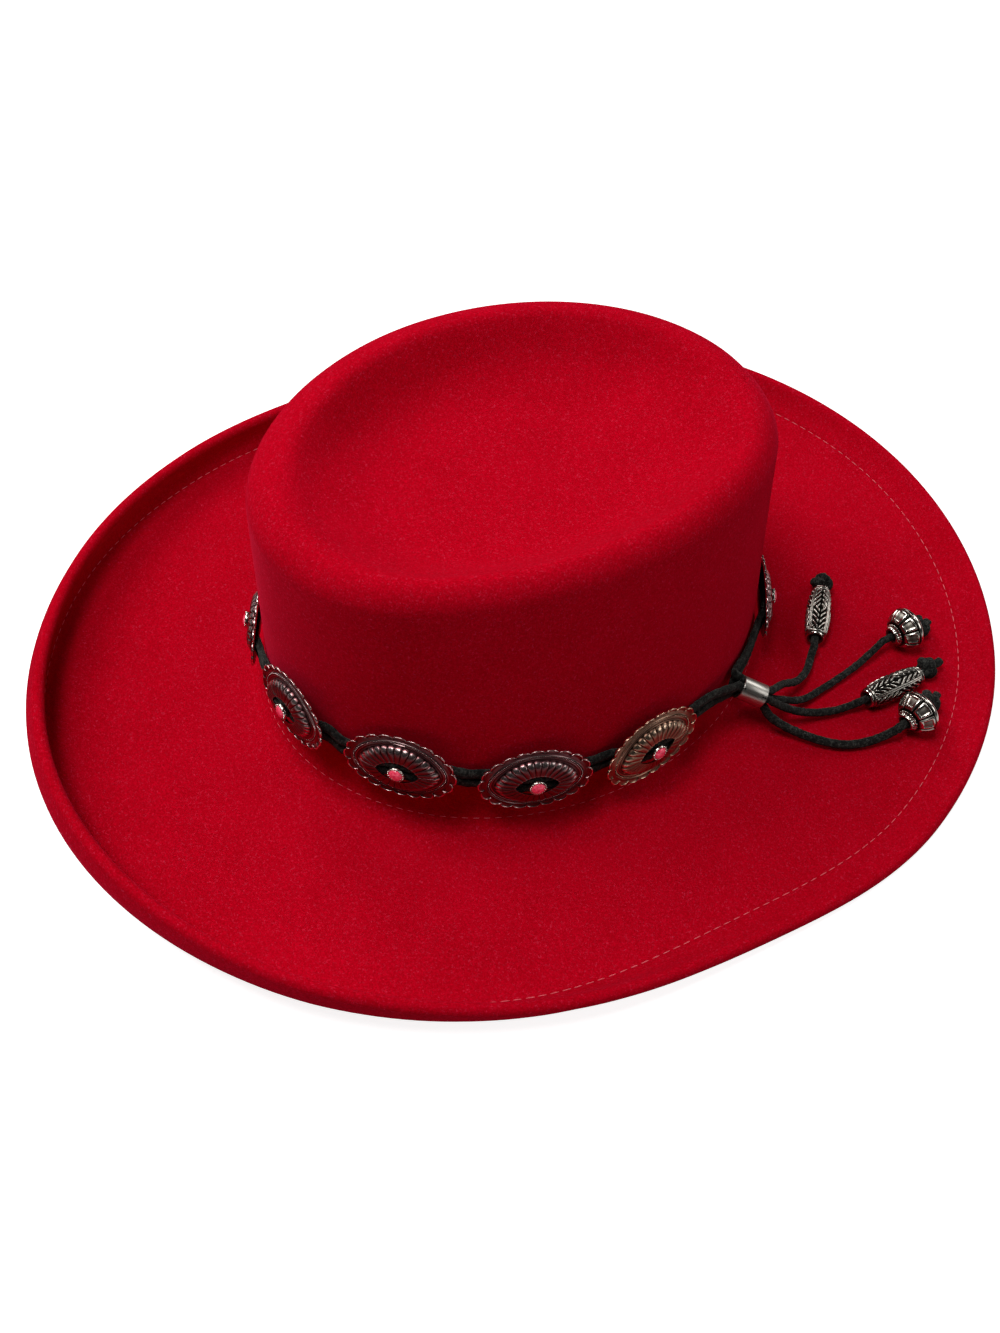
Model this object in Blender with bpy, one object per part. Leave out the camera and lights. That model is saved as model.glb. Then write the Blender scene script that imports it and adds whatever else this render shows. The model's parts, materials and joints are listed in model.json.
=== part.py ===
# Gambler hat: a red wool felt body with a telescope crown and a rolled, welted brim, and a band of
# oval conchos carried on two suede laces. The four lace ends leave the band through one metal sleeve
# and lie on the brim, each with a metal bead and a knot.
#
# Metres, +Z up. The wearer's front is towards -Y and the wearer's left towards +X. The origin is on the
# surface that the hat rests on, under the middle of the felt body. Angles round the hat are in degrees
# from the front towards the wearer's left. Pieces are laid out about the middle of the crown and moved
# to the origin together at the end.

import math

import bmesh
import bpy
from mathutils import Matrix, Vector

# Felt body
FELT = 0.0024               # thickness of the felt
CROWN_LENGTH = 0.2032       # outside of the crown at its waist, front to back
CROWN_WIDTH = 0.1632
TOP_LENGTH = 0.1964         # outside of the crown at its shoulder
TOP_WIDTH = 0.1572
CROWN_HEIGHT = 0.1096       # crest of the crown above the brim
CROWN_FORWARD = 0.0060      # how far the crest stands in front of the waist
CROWN_RIGHT = 0.0019        # and to the wearer's right of it
LEAN = 0.011                # how far the crest leans in on the wearer's left, at the most
LEAN_START = 0.30           # share of CROWN_HEIGHT where the wall starts to lean in
SHOULDER_RADIUS = 0.014
DISH_DEPTH = 0.020          # depth of the oval dish inside the crest
FOOT_OUT = 0.008            # sweep from the crown's wall out to the brim
FOOT_UP = 0.012
BRIM_REACH = 0.088          # plan distance from the crown's waist to the brim's edge
BRIM_RISE = 0.010           # height of the brim where its curl starts, at the most
FLAT_REACH = 0.036          # how far out from the waist the brim lies flat
CURL_LENGTH = 0.013         # length of brim that turns up into the curl
LIP_LENGTH = 0.004          # straight stretch outside the curl
WELT_WIDTH = 0.0115         # edge of the felt turned under and stitched
FELT_COLUMNS = 44

# One row for each twelfth of a turn: plan reach as a share of BRIM_REACH, height where the curl
# starts as a share of BRIM_RISE, and the slope of the edge in degrees.
BRIM_ROWS = [
    {"angle": 0, "reach": 0.974, "start": 0.97, "lip": 80},
    {"angle": 30, "reach": 0.940, "start": 0.74, "lip": 70},
    {"angle": 60, "reach": 0.884, "start": 0.20, "lip": 52},
    {"angle": 90, "reach": 0.853, "start": 0.00, "lip": 28},
    {"angle": 120, "reach": 1.014, "start": 0.00, "lip": 16},
    {"angle": 150, "reach": 1.105, "start": 0.00, "lip": 32},
    {"angle": 180, "reach": 1.095, "start": 0.25, "lip": 44},
    {"angle": 210, "reach": 0.980, "start": 0.40, "lip": 60},
    {"angle": 240, "reach": 0.830, "start": 0.20, "lip": 78},
    {"angle": 270, "reach": 0.760, "start": 0.05, "lip": 85},
    {"angle": 300, "reach": 0.826, "start": 0.22, "lip": 88},
    {"angle": 330, "reach": 0.908, "start": 0.70, "lip": 88},
]

# Lean of the crown's wall as a share of LEAN, one row for each twelfth of a turn
LEAN_ROWS = [
    {"angle": 0, "lean": 0.0},
    {"angle": 30, "lean": 0.18},
    {"angle": 60, "lean": 0.78},
    {"angle": 90, "lean": 1.0},
    {"angle": 120, "lean": 0.68},
    {"angle": 150, "lean": 0.10},
    {"angle": 180, "lean": 0.0},
    {"angle": 210, "lean": 0.0},
    {"angle": 240, "lean": 0.0},
    {"angle": 270, "lean": 0.0},
    {"angle": 300, "lean": 0.0},
    {"angle": 330, "lean": 0.0},
]

# Dish of the crown from its middle out to the crest: share of the crest's half sizes, and share of
# DISH_DEPTH below the crest.
DISH_ROWS = [
    {"across": 0.40, "drop": 0.98},
    {"across": 0.66, "drop": 0.84},
    {"across": 0.86, "drop": 0.40},
]

# Hatband: height of its middle as a share of CROWN_HEIGHT, one row for each eighth of a turn
LACE = 0.0040               # height of each of the two laces where they lie against the crown
LACE_END = 0.0036           # diameter of their free ends
LACE_FLAT = 0.0026          # thickness of the laces where they lie against the crown
CLEARANCE = 0.0003          # between a piece and its neighbour
LACE_OFF_WALL = 0.0006      # between the laces and the crown
LACE_SIDES = 8
BAND_ROWS = [
    {"angle": 0, "height": 0.28},
    {"angle": 45, "height": 0.27},
    {"angle": 90, "height": 0.235},
    {"angle": 135, "height": 0.19},
    {"angle": 180, "height": 0.17},
    {"angle": 225, "height": 0.18},
    {"angle": 270, "height": 0.19},
    {"angle": 315, "height": 0.205},
]

# Conchos: ovals domed from the rim up to the almond opening that the laces cross
CONCHO_LENGTH = 0.0415
CONCHO_HEIGHT = 0.0295
CONCHO_DOME = 0.0042        # front of the dome above the back of the rim
CONCHO_THICKNESS = 0.0012
OPENING_LENGTH = 0.0160
OPENING_HEIGHT = 0.0074
LACE_RISE = 0.0022          # front of the laces in the opening above the back of the rim
CONCHO_POINTS = 22

# Lie of each concho: place round the crown, lift above the line of the band in millimetres, turn of
# the end nearer the wearer's left towards the crown, rise of that end, and how far the foot tips out.
CONCHOS = [
    {"angle": 335, "lift": -1, "turn": 0, "rise": 16, "tilt": 5},
    {"angle": 10, "lift": 5.5, "turn": -7, "rise": 18, "tilt": 3},
    {"angle": 39, "lift": 4, "turn": -4, "rise": 4, "tilt": 7},
    {"angle": 67, "lift": 0.5, "turn": -1, "rise": 0, "tilt": 8},
    {"angle": 92.5, "lift": 1.6, "turn": 3, "rise": 8, "tilt": 10},
    {"angle": 150, "lift": -0.5, "turn": 0, "rise": -12, "tilt": 8},
    {"angle": 179, "lift": 0, "turn": 0, "rise": -2, "tilt": 8},
    {"angle": 207, "lift": 0.5, "turn": 2, "rise": 1, "tilt": 8},
    {"angle": 234, "lift": 0, "turn": 0, "rise": 0, "tilt": 8},
    {"angle": 262, "lift": -0.5, "turn": -2, "rise": 3, "tilt": 8},
    {"angle": 298, "lift": 0, "turn": 0, "rise": 4, "tilt": 8},
]

# Concho from its rim up to the opening: share of the way from the opening's outline out to the rim's,
# and height as a share of CONCHO_DOME.
CONCHO_ROWS = [
    {"out": 1.00, "height": 0.18},
    {"out": 0.80, "height": 0.30},
    {"out": 0.46, "height": 0.72},
    {"out": 0.00, "height": 1.00},
]

# Stones: a faceted stone in a round cup on a foot that stands in the opening
CUP_WIDTH = 0.0062
CUP_FOOT = 0.0008
CUP_HEIGHT = 0.0012
STONE_WIDTH = 0.0048
STONE_HEIGHT = 0.0010
STONE_SIDES = 8

# Sleeve that gathers the four lace ends: place of its crown end round and off the crown's wall, and
# the way it points
SLEEVE_DIAMETER = 0.0094
SLEEVE_LENGTH = 0.0105
SLEEVE_BEVEL = 0.0005
SLEEVE_ANGLE = 120.02
SLEEVE_HEIGHT = 0.1916      # share of CROWN_HEIGHT
SLEEVE_OFF_WALL = 0.00593
SLEEVE_TURN = 49            # degrees from the wearer's left towards the back
SLEEVE_FALL = 21            # degrees below level

# Tails, from the sleeve along the brim to the bead, in millimetres: to the wearer's left and back
# from the sleeve's crown end, and up from the surface that the hat rests on. The start places each
# in the sleeve, across and up. The knot is that far past the bead and aside, and the bare end of the
# lace stands out of it by the tip.
TAILS = [
    {
        "start": (1, 1),
        "route": [(3.1, 21.2, 15), (1.8, 30.8, 9.4), (-1.9, 39.7, 6.4), (-7.7, 47.4, 6)],
        "bead": "barrel", "entry": (-12.5, 52.5, 7.9), "turn": 135,
        "knot": 4.9, "aside": 0, "tip": 0.8,
    },
    {
        "start": (1, -1),
        "route": [(7.6, 19, 11.6), (8.9, 29, 7), (7.7, 40.8, 5.2), (6.5, 52.2, 5.2), (4.9, 63.2, 6.2)],
        "bead": "domed", "entry": (2.9, 79.2, 10), "turn": 88,
        "knot": 4.9, "aside": 1, "tip": 0.8,
    },
    {
        "start": (-1, 1),
        "route": [(10.7, 13.4, 15.4), (13.7, 20.6, 10.6), (16.1, 28.2, 7.4), (18.4, 36.4, 5.8), (19.9, 43.8, 6)],
        "bead": "barrel", "entry": (21.3, 51, 7.9), "turn": 88,
        "knot": 6.0, "aside": 1.7, "tip": 3.2,
    },
    {
        "start": (-1, -1),
        "route": [(11.5, 8.8, 12.4), (15.9, 13.2, 8.4), (22.3, 18.8, 6.4), (28.5, 24.6, 5.6), (33.5, 31.4, 5.2),
                  (36.3, 39.2, 5.2), (38.1, 47, 6.6)],
        "bead": "domed", "entry": (38.9, 54.8, 10), "turn": 96,
        "knot": 6.4, "aside": 3, "tip": 1.6,
    },
]

# Beads, threaded on the laces: place along the bead as a share of its length, and radius as a share
# of its half width.
BARREL_ROWS = [
    {"along": 0.00, "radius": 0.68},
    {"along": 0.06, "radius": 0.80},
    {"along": 0.28, "radius": 0.97},
    {"along": 0.50, "radius": 1.00},
    {"along": 0.72, "radius": 0.97},
    {"along": 0.94, "radius": 0.80},
    {"along": 1.00, "radius": 0.68},
]
DOMED_ROWS = [
    {"along": 0.00, "radius": 0.44},
    {"along": 0.10, "radius": 0.52},
    {"along": 0.30, "radius": 0.80},
    {"along": 0.58, "radius": 0.97},
    {"along": 0.72, "radius": 1.00},
    {"along": 0.86, "radius": 0.90},
    {"along": 1.00, "radius": 0.46},
]
BEADS = {
    "barrel": {"length": 0.0270, "width": 0.0104, "rise": 0, "rows": BARREL_ROWS},
    "domed": {"length": 0.0120, "width": 0.0160, "rise": 7, "rows": DOMED_ROWS},
}
BORE = LACE_END + 3 * CLEARANCE
BEAD_SIDES = 12

# Knots at the ends of the tails: across, along and up
KNOT = (0.0084, 0.0084, 0.0080)

# Colours
FELT_COLOUR = (0.42, 0.0, 0.012)
LACE_COLOUR = (0.016, 0.016, 0.015)
SILVER_COLOUR = (0.30, 0.27, 0.25)
SLEEVE_COLOUR = (0.45, 0.43, 0.40)
STONE_COLOUR = (0.70, 0.06, 0.13)

LIFT = Vector((0, 0, FELT))


def between(rows, column, angle):
    """Value of a column at an angle, on a smooth closed curve through the rows."""
    step = 360 / len(rows)
    place = (angle % 360) / step
    index = int(place)
    share = place - index
    before, start, end, after = (rows[(index + k) % len(rows)][column] for k in (-1, 0, 1, 2))
    slope_start = (end - before) / 2
    slope_end = (after - start) / 2
    square = share * share
    cube = square * share
    return (
        start * (2 * cube - 3 * square + 1)
        + slope_start * (cube - 2 * square + share)
        + end * (3 * square - 2 * cube)
        + slope_end * (cube - square)
    )


def oval(angle, length, width):
    """Point on an oval of the given length and width."""
    turn = math.radians(angle)
    return Vector((width / 2 * math.sin(turn), -length / 2 * math.cos(turn), 0))


def outward(angle):
    """Outward direction of the crown's wall."""
    turn = math.radians(angle)
    return Vector((math.sin(turn) / CROWN_WIDTH, -math.cos(turn) / CROWN_LENGTH, 0)).normalized()


def crown_shift(height):
    """How far the crown has moved forward and sideways at a height above the brim."""
    share = height / CROWN_HEIGHT
    return Vector((-CROWN_RIGHT * share, -CROWN_FORWARD * share, 0))


def crown_point(angle, height, out=0.0):
    """Point at a height above the brim, at a distance out from the crown's wall."""
    share = height / (CROWN_HEIGHT - SHOULDER_RADIUS)
    length = CROWN_LENGTH + (TOP_LENGTH - CROWN_LENGTH) * share
    width = CROWN_WIDTH + (TOP_WIDTH - CROWN_WIDTH) * share
    edge = oval(angle, length, width) + outward(angle) * out
    return edge + crown_shift(height) + Vector((0, 0, height)) + LIFT


def lean_in(angle, height, across=1.0):
    """How far a point of the crown moves in from the straight wall."""
    share = max(0, height / CROWN_HEIGHT - LEAN_START) / (1 - LEAN_START)
    return outward(angle) * (-LEAN * between(LEAN_ROWS, "lean", angle) * share * across)


def crown_section(angle):
    """Crown from near the middle of its dish down to the brim: pairs of outside and inside points."""
    pairs = []
    for row in DISH_ROWS:
        length = (TOP_LENGTH - 2 * SHOULDER_RADIUS) * row["across"]
        width = (TOP_WIDTH - 2 * SHOULDER_RADIUS) * row["across"]
        height = CROWN_HEIGHT - DISH_DEPTH * row["drop"]
        point = oval(angle, length, width) + lean_in(angle, height, row["across"])
        point += crown_shift(height) + Vector((0, 0, height)) + LIFT
        pairs.append((point, point - LIFT))
    shoulder = CROWN_HEIGHT - SHOULDER_RADIUS
    for turn in (90, 62, 32, 0):
        layers = []
        for depth in (0, FELT):
            radius = SHOULDER_RADIUS - depth
            inset = SHOULDER_RADIUS - radius * math.cos(math.radians(turn))
            height = shoulder + radius * math.sin(math.radians(turn))
            edge = oval(angle, TOP_LENGTH - 2 * inset, TOP_WIDTH - 2 * inset) + lean_in(angle, height)
            layers.append(edge + crown_shift(height) + Vector((0, 0, height)) + LIFT)
        pairs.append(tuple(layers))
    middle = CROWN_HEIGHT * LEAN_START
    pairs.append((crown_point(angle, middle), crown_point(angle, middle, -FELT)))
    for turn in (0, 35, 65, 90):
        across = math.cos(math.radians(turn))
        down = math.sin(math.radians(turn))
        point = crown_point(angle, FOOT_UP * (1 - down), FOOT_OUT * (1 - across))
        inner = Vector((across / FOOT_OUT, down / FOOT_UP)).normalized() * FELT
        pairs.append((point, point - outward(angle) * inner.x - Vector((0, 0, inner.y))))
    return pairs


def brim_line(angle):
    """Top of the brim in its own section, as (out from the waist, up, slope), from flat to edge."""
    reach = BRIM_REACH * between(BRIM_ROWS, "reach", angle)
    start = max(0, BRIM_RISE * between(BRIM_ROWS, "start", angle))
    lip = math.radians(between(BRIM_ROWS, "lip", angle))
    rise = 0
    for _ in range(4):
        radius = CURL_LENGTH / (lip - rise)
        curl_out = radius * (math.sin(lip) - math.sin(rise)) + LIP_LENGTH * math.cos(lip)
        gentle = reach - curl_out - FLAT_REACH
        rise = math.atan(2 * start / gentle)
    line = [(FLAT_REACH, 0, 0)]
    for share in (0.55, 1.0):
        slope = math.atan(math.tan(rise) * share)
        line.append((FLAT_REACH + gentle * share, start * share * share, slope))
    for share in (0.34, 0.67, 1.0):
        slope = rise + (lip - rise) * share
        out = FLAT_REACH + gentle + radius * (math.sin(slope) - math.sin(rise))
        up = start + radius * (math.cos(rise) - math.cos(slope))
        line.append((out, up, slope))
    end_out, end_up, _ = line[-1]
    line.append((end_out + LIP_LENGTH * math.cos(lip), end_up + LIP_LENGTH * math.sin(lip), lip))
    return line


def under(place, depth):
    """Point below a place on the brim line, kept above the surface that the brim rests on."""
    out, up, slope = place
    return (out + depth * math.sin(slope), max(up - depth * math.cos(slope), -FELT))


def brim_section(angle):
    """Brim from its flat round the turned edge and back beneath to the flat."""
    line = brim_line(angle)
    run = 0
    welt = []
    inner = list(line)
    while inner:
        outer = inner.pop()
        length = math.hypot(outer[0] - inner[-1][0], outer[1] - inner[-1][1])
        if run + length > WELT_WIDTH:
            share = (WELT_WIDTH - run) / length
            mark = tuple(outer[k] + (inner[-1][k] - outer[k]) * share for k in range(3))
            break
        run += length
        welt.append(inner[-1])
    edge_out, edge_up, lip = line[-1]
    section = [(out, up) for out, up, _ in line]
    for turn in (45, 90, 135):
        swing = lip + math.pi / 2 - math.radians(turn)
        out = edge_out + FELT * (math.sin(lip) + math.cos(swing))
        up = edge_up + FELT * (math.sin(swing) - math.cos(lip))
        section.append((out, max(up, -FELT)))
    section += [under(place, 2 * FELT) for place in [line[-1], *welt, mark]]
    section += [under(place, FELT) for place in [mark, *reversed(inner)]]
    base = oval(angle, CROWN_LENGTH, CROWN_WIDTH) + LIFT
    return [base + outward(angle) * out + Vector((0, 0, up)) for out, up in section]


def make_felt_body():
    body = bmesh.new()
    columns = []
    for index in range(FELT_COLUMNS):
        angle = 360 * index / FELT_COLUMNS
        crown = crown_section(angle)
        points = [outside for outside, _ in crown] + brim_section(angle)
        points += [inside for _, inside in reversed(crown)]
        columns.append([body.verts.new(point) for point in points])
    height = CROWN_HEIGHT - DISH_DEPTH
    top = body.verts.new(crown_shift(height) + Vector((0, 0, height)) + LIFT)
    bottom = body.verts.new(top.co - LIFT)
    for index, column in enumerate(columns):
        following = columns[(index + 1) % FELT_COLUMNS]
        body.faces.new((top, column[0], following[0]))
        for row in range(len(column) - 1):
            body.faces.new((column[row], column[row + 1], following[row + 1], following[row]))
        body.faces.new((column[-1], bottom, following[-1]))
    bmesh.ops.triangulate(body, faces=body.faces)
    return finish("felt_body", body, felt, 35)


def wall_radius(angle):
    """Radius of the crown's curve in plan."""
    turn = math.radians(angle)
    half_length = CROWN_LENGTH / 2
    half_width = CROWN_WIDTH / 2
    square = (half_length * math.sin(turn)) ** 2 + (half_width * math.cos(turn)) ** 2
    return square ** 1.5 / (half_length * half_width)


def band_point(angle, out, up=0.0):
    """Point on the hatband's line, at a distance out from the wall."""
    return crown_point(angle, CROWN_HEIGHT * between(BAND_ROWS, "height", angle) + up, out)


def angle_along(angle, distance):
    """Angle reached by walking a distance round the hatband."""
    steps = 20
    for _ in range(steps):
        turn = math.radians(angle)
        pace = math.hypot(CROWN_WIDTH / 2 * math.cos(turn), CROWN_LENGTH / 2 * math.sin(turn))
        angle += math.degrees(distance / steps / pace)
    return angle


def seat(lie):
    """Distance of a concho from the wall, and how far the laces behind it stand off the wall."""
    tilt = math.radians(lie["tilt"])
    half = CONCHO_LENGTH * 0.46
    bend = half * half / (2 * wall_radius(lie["angle"]))
    over_laces = LACE_OFF_WALL + LACE_FLAT + LACE * math.sin(tilt) + CLEARANCE
    over_laces += half * abs(math.sin(math.radians(lie["turn"]))) - bend
    off_wall = CONCHO_HEIGHT / 2 * math.sin(tilt) + 2 * CLEARANCE
    out = max(over_laces, off_wall)
    return out, LACE_OFF_WALL + (out - over_laces) * 0.8


def concho_frame(lie):
    """Placing of a concho: X along the band, Y up it, Z out from the crown."""
    out = outward(lie["angle"])
    turn = math.radians(lie["turn"])
    tilt = math.radians(lie["tilt"])
    up = Vector((0, 0, 1))
    place = Matrix((up.cross(out), up, out)).transposed().to_4x4()
    place.translation = band_point(lie["angle"], seat(lie)[0], lie["lift"] / 1000)
    place @= Matrix.Rotation(turn, 4, "Y") @ Matrix.Rotation(math.radians(lie["rise"]), 4, "Z")
    return place @ Matrix.Rotation(-tilt, 4, "X")


def almond(turn, out):
    """Outline between the almond opening and the oval rim."""
    length = OPENING_LENGTH + (CONCHO_LENGTH - OPENING_LENGTH) * out
    height = OPENING_HEIGHT + (CONCHO_HEIGHT - OPENING_HEIGHT) * out
    pinch = abs(math.sin(turn)) ** (0.45 * (1 - out))
    return Vector((length / 2 * math.cos(turn), height / 2 * math.sin(turn) * pinch, 0))


def turns(sides, offset=0.0):
    return [2 * math.pi * (side + offset) / sides for side in range(sides)]


def join_rings(solid, rings):
    """Faces between each ring of points and the next."""
    for ring, following in zip(rings, rings[1:]):
        for side in range(len(ring)):
            after = (side + 1) % len(ring)
            solid.faces.new((ring[side], ring[after], following[after], following[side]))


def round_rings(solid, levels, sides, offset=0.0):
    """Rings of points about Z, one for each (radius, height)."""
    rings = []
    for radius, height in levels:
        places = [(radius * math.cos(turn), radius * math.sin(turn), height) for turn in turns(sides, offset)]
        rings.append([solid.verts.new(place) for place in places])
    return rings


def make_concho(number, lie):
    concho = bmesh.new()
    levels = [(row["out"], CONCHO_DOME * row["height"]) for row in CONCHO_ROWS]
    dome = CONCHO_ROWS[2]
    levels.append((0.0, CONCHO_DOME - CONCHO_THICKNESS))
    levels.append((dome["out"], CONCHO_DOME * dome["height"] - CONCHO_THICKNESS))
    levels.append((0.97, 0.0))
    rings = []
    for out, height in levels:
        outline = [almond(turn, out) for turn in turns(CONCHO_POINTS)]
        rings.append([concho.verts.new(point + Vector((0, 0, height))) for point in outline])
    join_rings(concho, rings + rings[:1])
    concho.transform(concho_frame(lie))
    bmesh.ops.triangulate(concho, faces=concho.faces)
    return finish(f"concho_{number}", concho, silver, 40)


def make_stone(number, lie):
    """Stone and cup as one body."""
    stone = bmesh.new()
    rim = CONCHO_DOME + CUP_HEIGHT
    levels = [
        (CUP_WIDTH * 0.40, CONCHO_DOME - CUP_FOOT),
        (CUP_WIDTH / 2, CONCHO_DOME),
        (CUP_WIDTH / 2, rim),
        (STONE_WIDTH / 2, rim),
        (STONE_WIDTH * 0.28, rim + STONE_HEIGHT),
    ]
    rings = round_rings(stone, levels, STONE_SIDES, 0.5)
    join_rings(stone, rings)
    stone.faces.new(list(reversed(rings[0])))
    stone.faces.new(rings[-1])
    stone.transform(concho_frame(lie))
    return finish(f"stone_{number}", stone, crystal, 20)


def smooth_route(points, spacing):
    """Points at about the given spacing on a smooth curve through the given points."""
    route = [points[0]]
    for index in range(len(points) - 1):
        before = points[max(index - 1, 0)]
        start = points[index]
        end = points[index + 1]
        after = points[min(index + 2, len(points) - 1)]
        steps = max(1, round((end - start).length / spacing))
        for step in range(1, steps + 1):
            share = step / steps
            square = share * share
            cube = square * share
            route.append(
                start * (2 * cube - 3 * square + 1)
                + (end - before) / 2 * (cube - 2 * square + share)
                + end * (3 * square - 2 * cube)
                + (after - start) / 2 * (cube - square)
            )
    return route


def oval_section(name):
    """Closed curve of the section of a lace that lies against the crown."""
    section = bpy.data.curves.new(name, "CURVE")
    outline = section.splines.new("POLY")
    outline.points.add(LACE_SIDES - 1)
    outline.use_cyclic_u = True
    for point, turn in zip(outline.points, turns(LACE_SIDES)):
        point.co = (LACE_FLAT / 2 * math.cos(turn), LACE / 2 * math.sin(turn), 0, 1)
    return bpy.data.objects.new(name, section)


def make_cord(name, route, section=None):
    """Cord along a route, round unless it is given a section."""
    curve = bpy.data.curves.new(name, "CURVE")
    curve.dimensions = "3D"
    curve.twist_mode = "Z_UP"
    curve.bevel_depth = LACE_END / 2
    curve.bevel_resolution = 2
    curve.use_fill_caps = True
    spline = curve.splines.new("POLY")
    spline.points.add(len(route) - 1)
    for point, place in zip(spline.points, route):
        point.co = (*place, 1)
    guides = [bpy.data.objects.new(name + "_line", curve)]
    if section:
        curve.bevel_mode = "OBJECT"
        curve.bevel_object = section
        guides.append(section)
    for guide in guides:
        bpy.context.scene.collection.objects.link(guide)
    mesh = bpy.data.meshes.new_from_object(guides[0].evaluated_get(bpy.context.evaluated_depsgraph_get()))
    for guide in guides:
        bpy.data.curves.remove(guide.data)
    cord = bmesh.new()
    cord.from_mesh(mesh)
    bpy.data.meshes.remove(mesh)
    bmesh.ops.remove_doubles(cord, verts=cord.verts, dist=0.00001)
    return finish(name, cord, suede, 50)


def sleeve_foot():
    """Middle of the sleeve's crown end."""
    return crown_point(SLEEVE_ANGLE, CROWN_HEIGHT * SLEEVE_HEIGHT, SLEEVE_OFF_WALL)


def sleeve_frame():
    """Placing of the sleeve: X level and towards the back, Y up, Z along it from the crown outwards."""
    turn = math.radians(SLEEVE_TURN)
    fall = math.radians(SLEEVE_FALL)
    along = Vector((math.cos(turn) * math.cos(fall), math.sin(turn) * math.cos(fall), -math.sin(fall)))
    across = Vector((-math.sin(turn), math.cos(turn), 0))
    place = Matrix((across, along.cross(across), along)).transposed().to_4x4()
    place.translation = sleeve_foot()
    return place


def cord_in_sleeve(across, up, along):
    """Middle of a cord at the sleeve, at a distance along it."""
    apart = LACE / 2 + CLEARANCE
    return sleeve_frame() @ Vector((across * apart, up * apart, along))


def make_lace(name, side):
    """Lace from the sleeve round the crown, behind and through the conchos, back to the sleeve."""
    out = LACE_OFF_WALL + LACE_FLAT / 2
    up = side * (LACE / 2 + 1.2 * CLEARANCE)
    lies = sorted(CONCHOS, key=lambda lie: (lie["angle"] - 120) % 360)
    reach = CONCHO_LENGTH * 0.36
    entry = [cord_in_sleeve(1, side, -4 * CLEARANCE), cord_in_sleeve(1.02, side, -0.4 * LACE)]
    entry.append(band_point(121.5, out + CLEARANCE, up * 1.05))
    entry.append(band_point(129, out + CLEARANCE, up))
    route = []
    for index, lie in enumerate(lies):
        angle = lie["angle"]
        lift = lie["lift"] / 1000
        concho_out, lace_out = seat(lie)
        behind = lace_out + LACE_FLAT / 2
        through = concho_out + LACE_RISE - LACE_FLAT / 2
        if index:
            last = lies[index - 1]["angle"]
            route.append(band_point(last + (angle - last) % 360 / 2, out, up))
        route.append(band_point(angle_along(angle, -reach), behind, up + lift * 0.4))
        route.append(band_point(angle, through, up + lift))
        route.append(band_point(angle_along(angle, reach), behind, up + lift * 0.4))
    leaving = [band_point(110.5, out + CLEARANCE, up + LACE * 0.4)]
    leaving += [cord_in_sleeve(-1.02, side, -0.4 * LACE), cord_in_sleeve(-1, side, -4 * CLEARANCE)]
    entry = smooth_route(entry + route[:1], LACE)
    leaving = smooth_route(route[-1:] + leaving, LACE)
    return make_cord(name, entry + route[1:-1] + leaving, oval_section(name + "_section"))


def from_sleeve(point):
    """Place given in millimetres from the sleeve's foot in plan and from the rest surface in height."""
    foot = sleeve_foot()
    return Vector((foot.x + point[0] / 1000, foot.y + point[1] / 1000, point[2] / 1000))


def bead_direction(tail):
    """Direction of the bead's axis, away from the sleeve."""
    turn = math.radians(tail["turn"])
    rise = math.radians(BEADS[tail["bead"]]["rise"])
    return Vector((math.cos(turn) * math.cos(rise), math.sin(turn) * math.cos(rise), math.sin(rise)))


def make_tail(number, tail):
    entry = from_sleeve(tail["entry"])
    along = bead_direction(tail)
    length = BEADS[tail["bead"]]["length"]
    points = [cord_in_sleeve(*tail["start"], SLEEVE_LENGTH + 2 * CLEARANCE)]
    points.append(cord_in_sleeve(*tail["start"], SLEEVE_LENGTH + 0.5 * LACE))
    points += [from_sleeve(point) for point in tail["route"]]
    points.append(entry - along * LACE)
    route = smooth_route(points, 2 * LACE)
    route += [entry + along * (length / 2), entry + along * (length + CLEARANCE)]
    return make_cord(f"tail_{number}", route)


def make_bead(number, tail):
    shape = BEADS[tail["bead"]]
    bead = bmesh.new()
    half = shape["width"] / 2
    levels = [(half * row["radius"], shape["length"] * row["along"]) for row in shape["rows"]]
    levels += [(BORE / 2, shape["length"]), (BORE / 2, 0)]
    rings = round_rings(bead, levels, BEAD_SIDES)
    join_rings(bead, rings + rings[:1])
    place = bead_direction(tail).to_track_quat("Z", "Y").to_matrix().to_4x4()
    place.translation = from_sleeve(tail["entry"])
    bead.transform(place)
    return finish(f"bead_{number}", bead, silver, 50)


def make_knot(number, tail):
    """Knot past the bead, with the bare end of the lace standing out of it."""
    knot = bmesh.new()
    bmesh.ops.create_icosphere(knot, subdivisions=2, radius=0.5)
    bmesh.ops.scale(knot, vec=KNOT, verts=knot.verts)
    for vert in knot.verts:
        if vert.co.y > KNOT[1] * 0.30 and abs(vert.co.x) < LACE_END * 0.6:
            vert.co.y += tail["tip"] / 1000
    along = bead_direction(tail)
    level = Vector((along.x, along.y, 0))
    place = level.to_track_quat("Y", "Z").to_matrix().to_4x4()
    past = BEADS[tail["bead"]]["length"] + tail["knot"] / 1000
    aside = Vector((-level.y, level.x, 0)) * (tail["aside"] / 1000)
    place.translation = from_sleeve(tail["entry"]) + along * past + aside
    place.translation.z = FELT + 2 * CLEARANCE + KNOT[2] / 2
    knot.transform(place)
    return finish(f"knot_{number}", knot, suede, 60)


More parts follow.
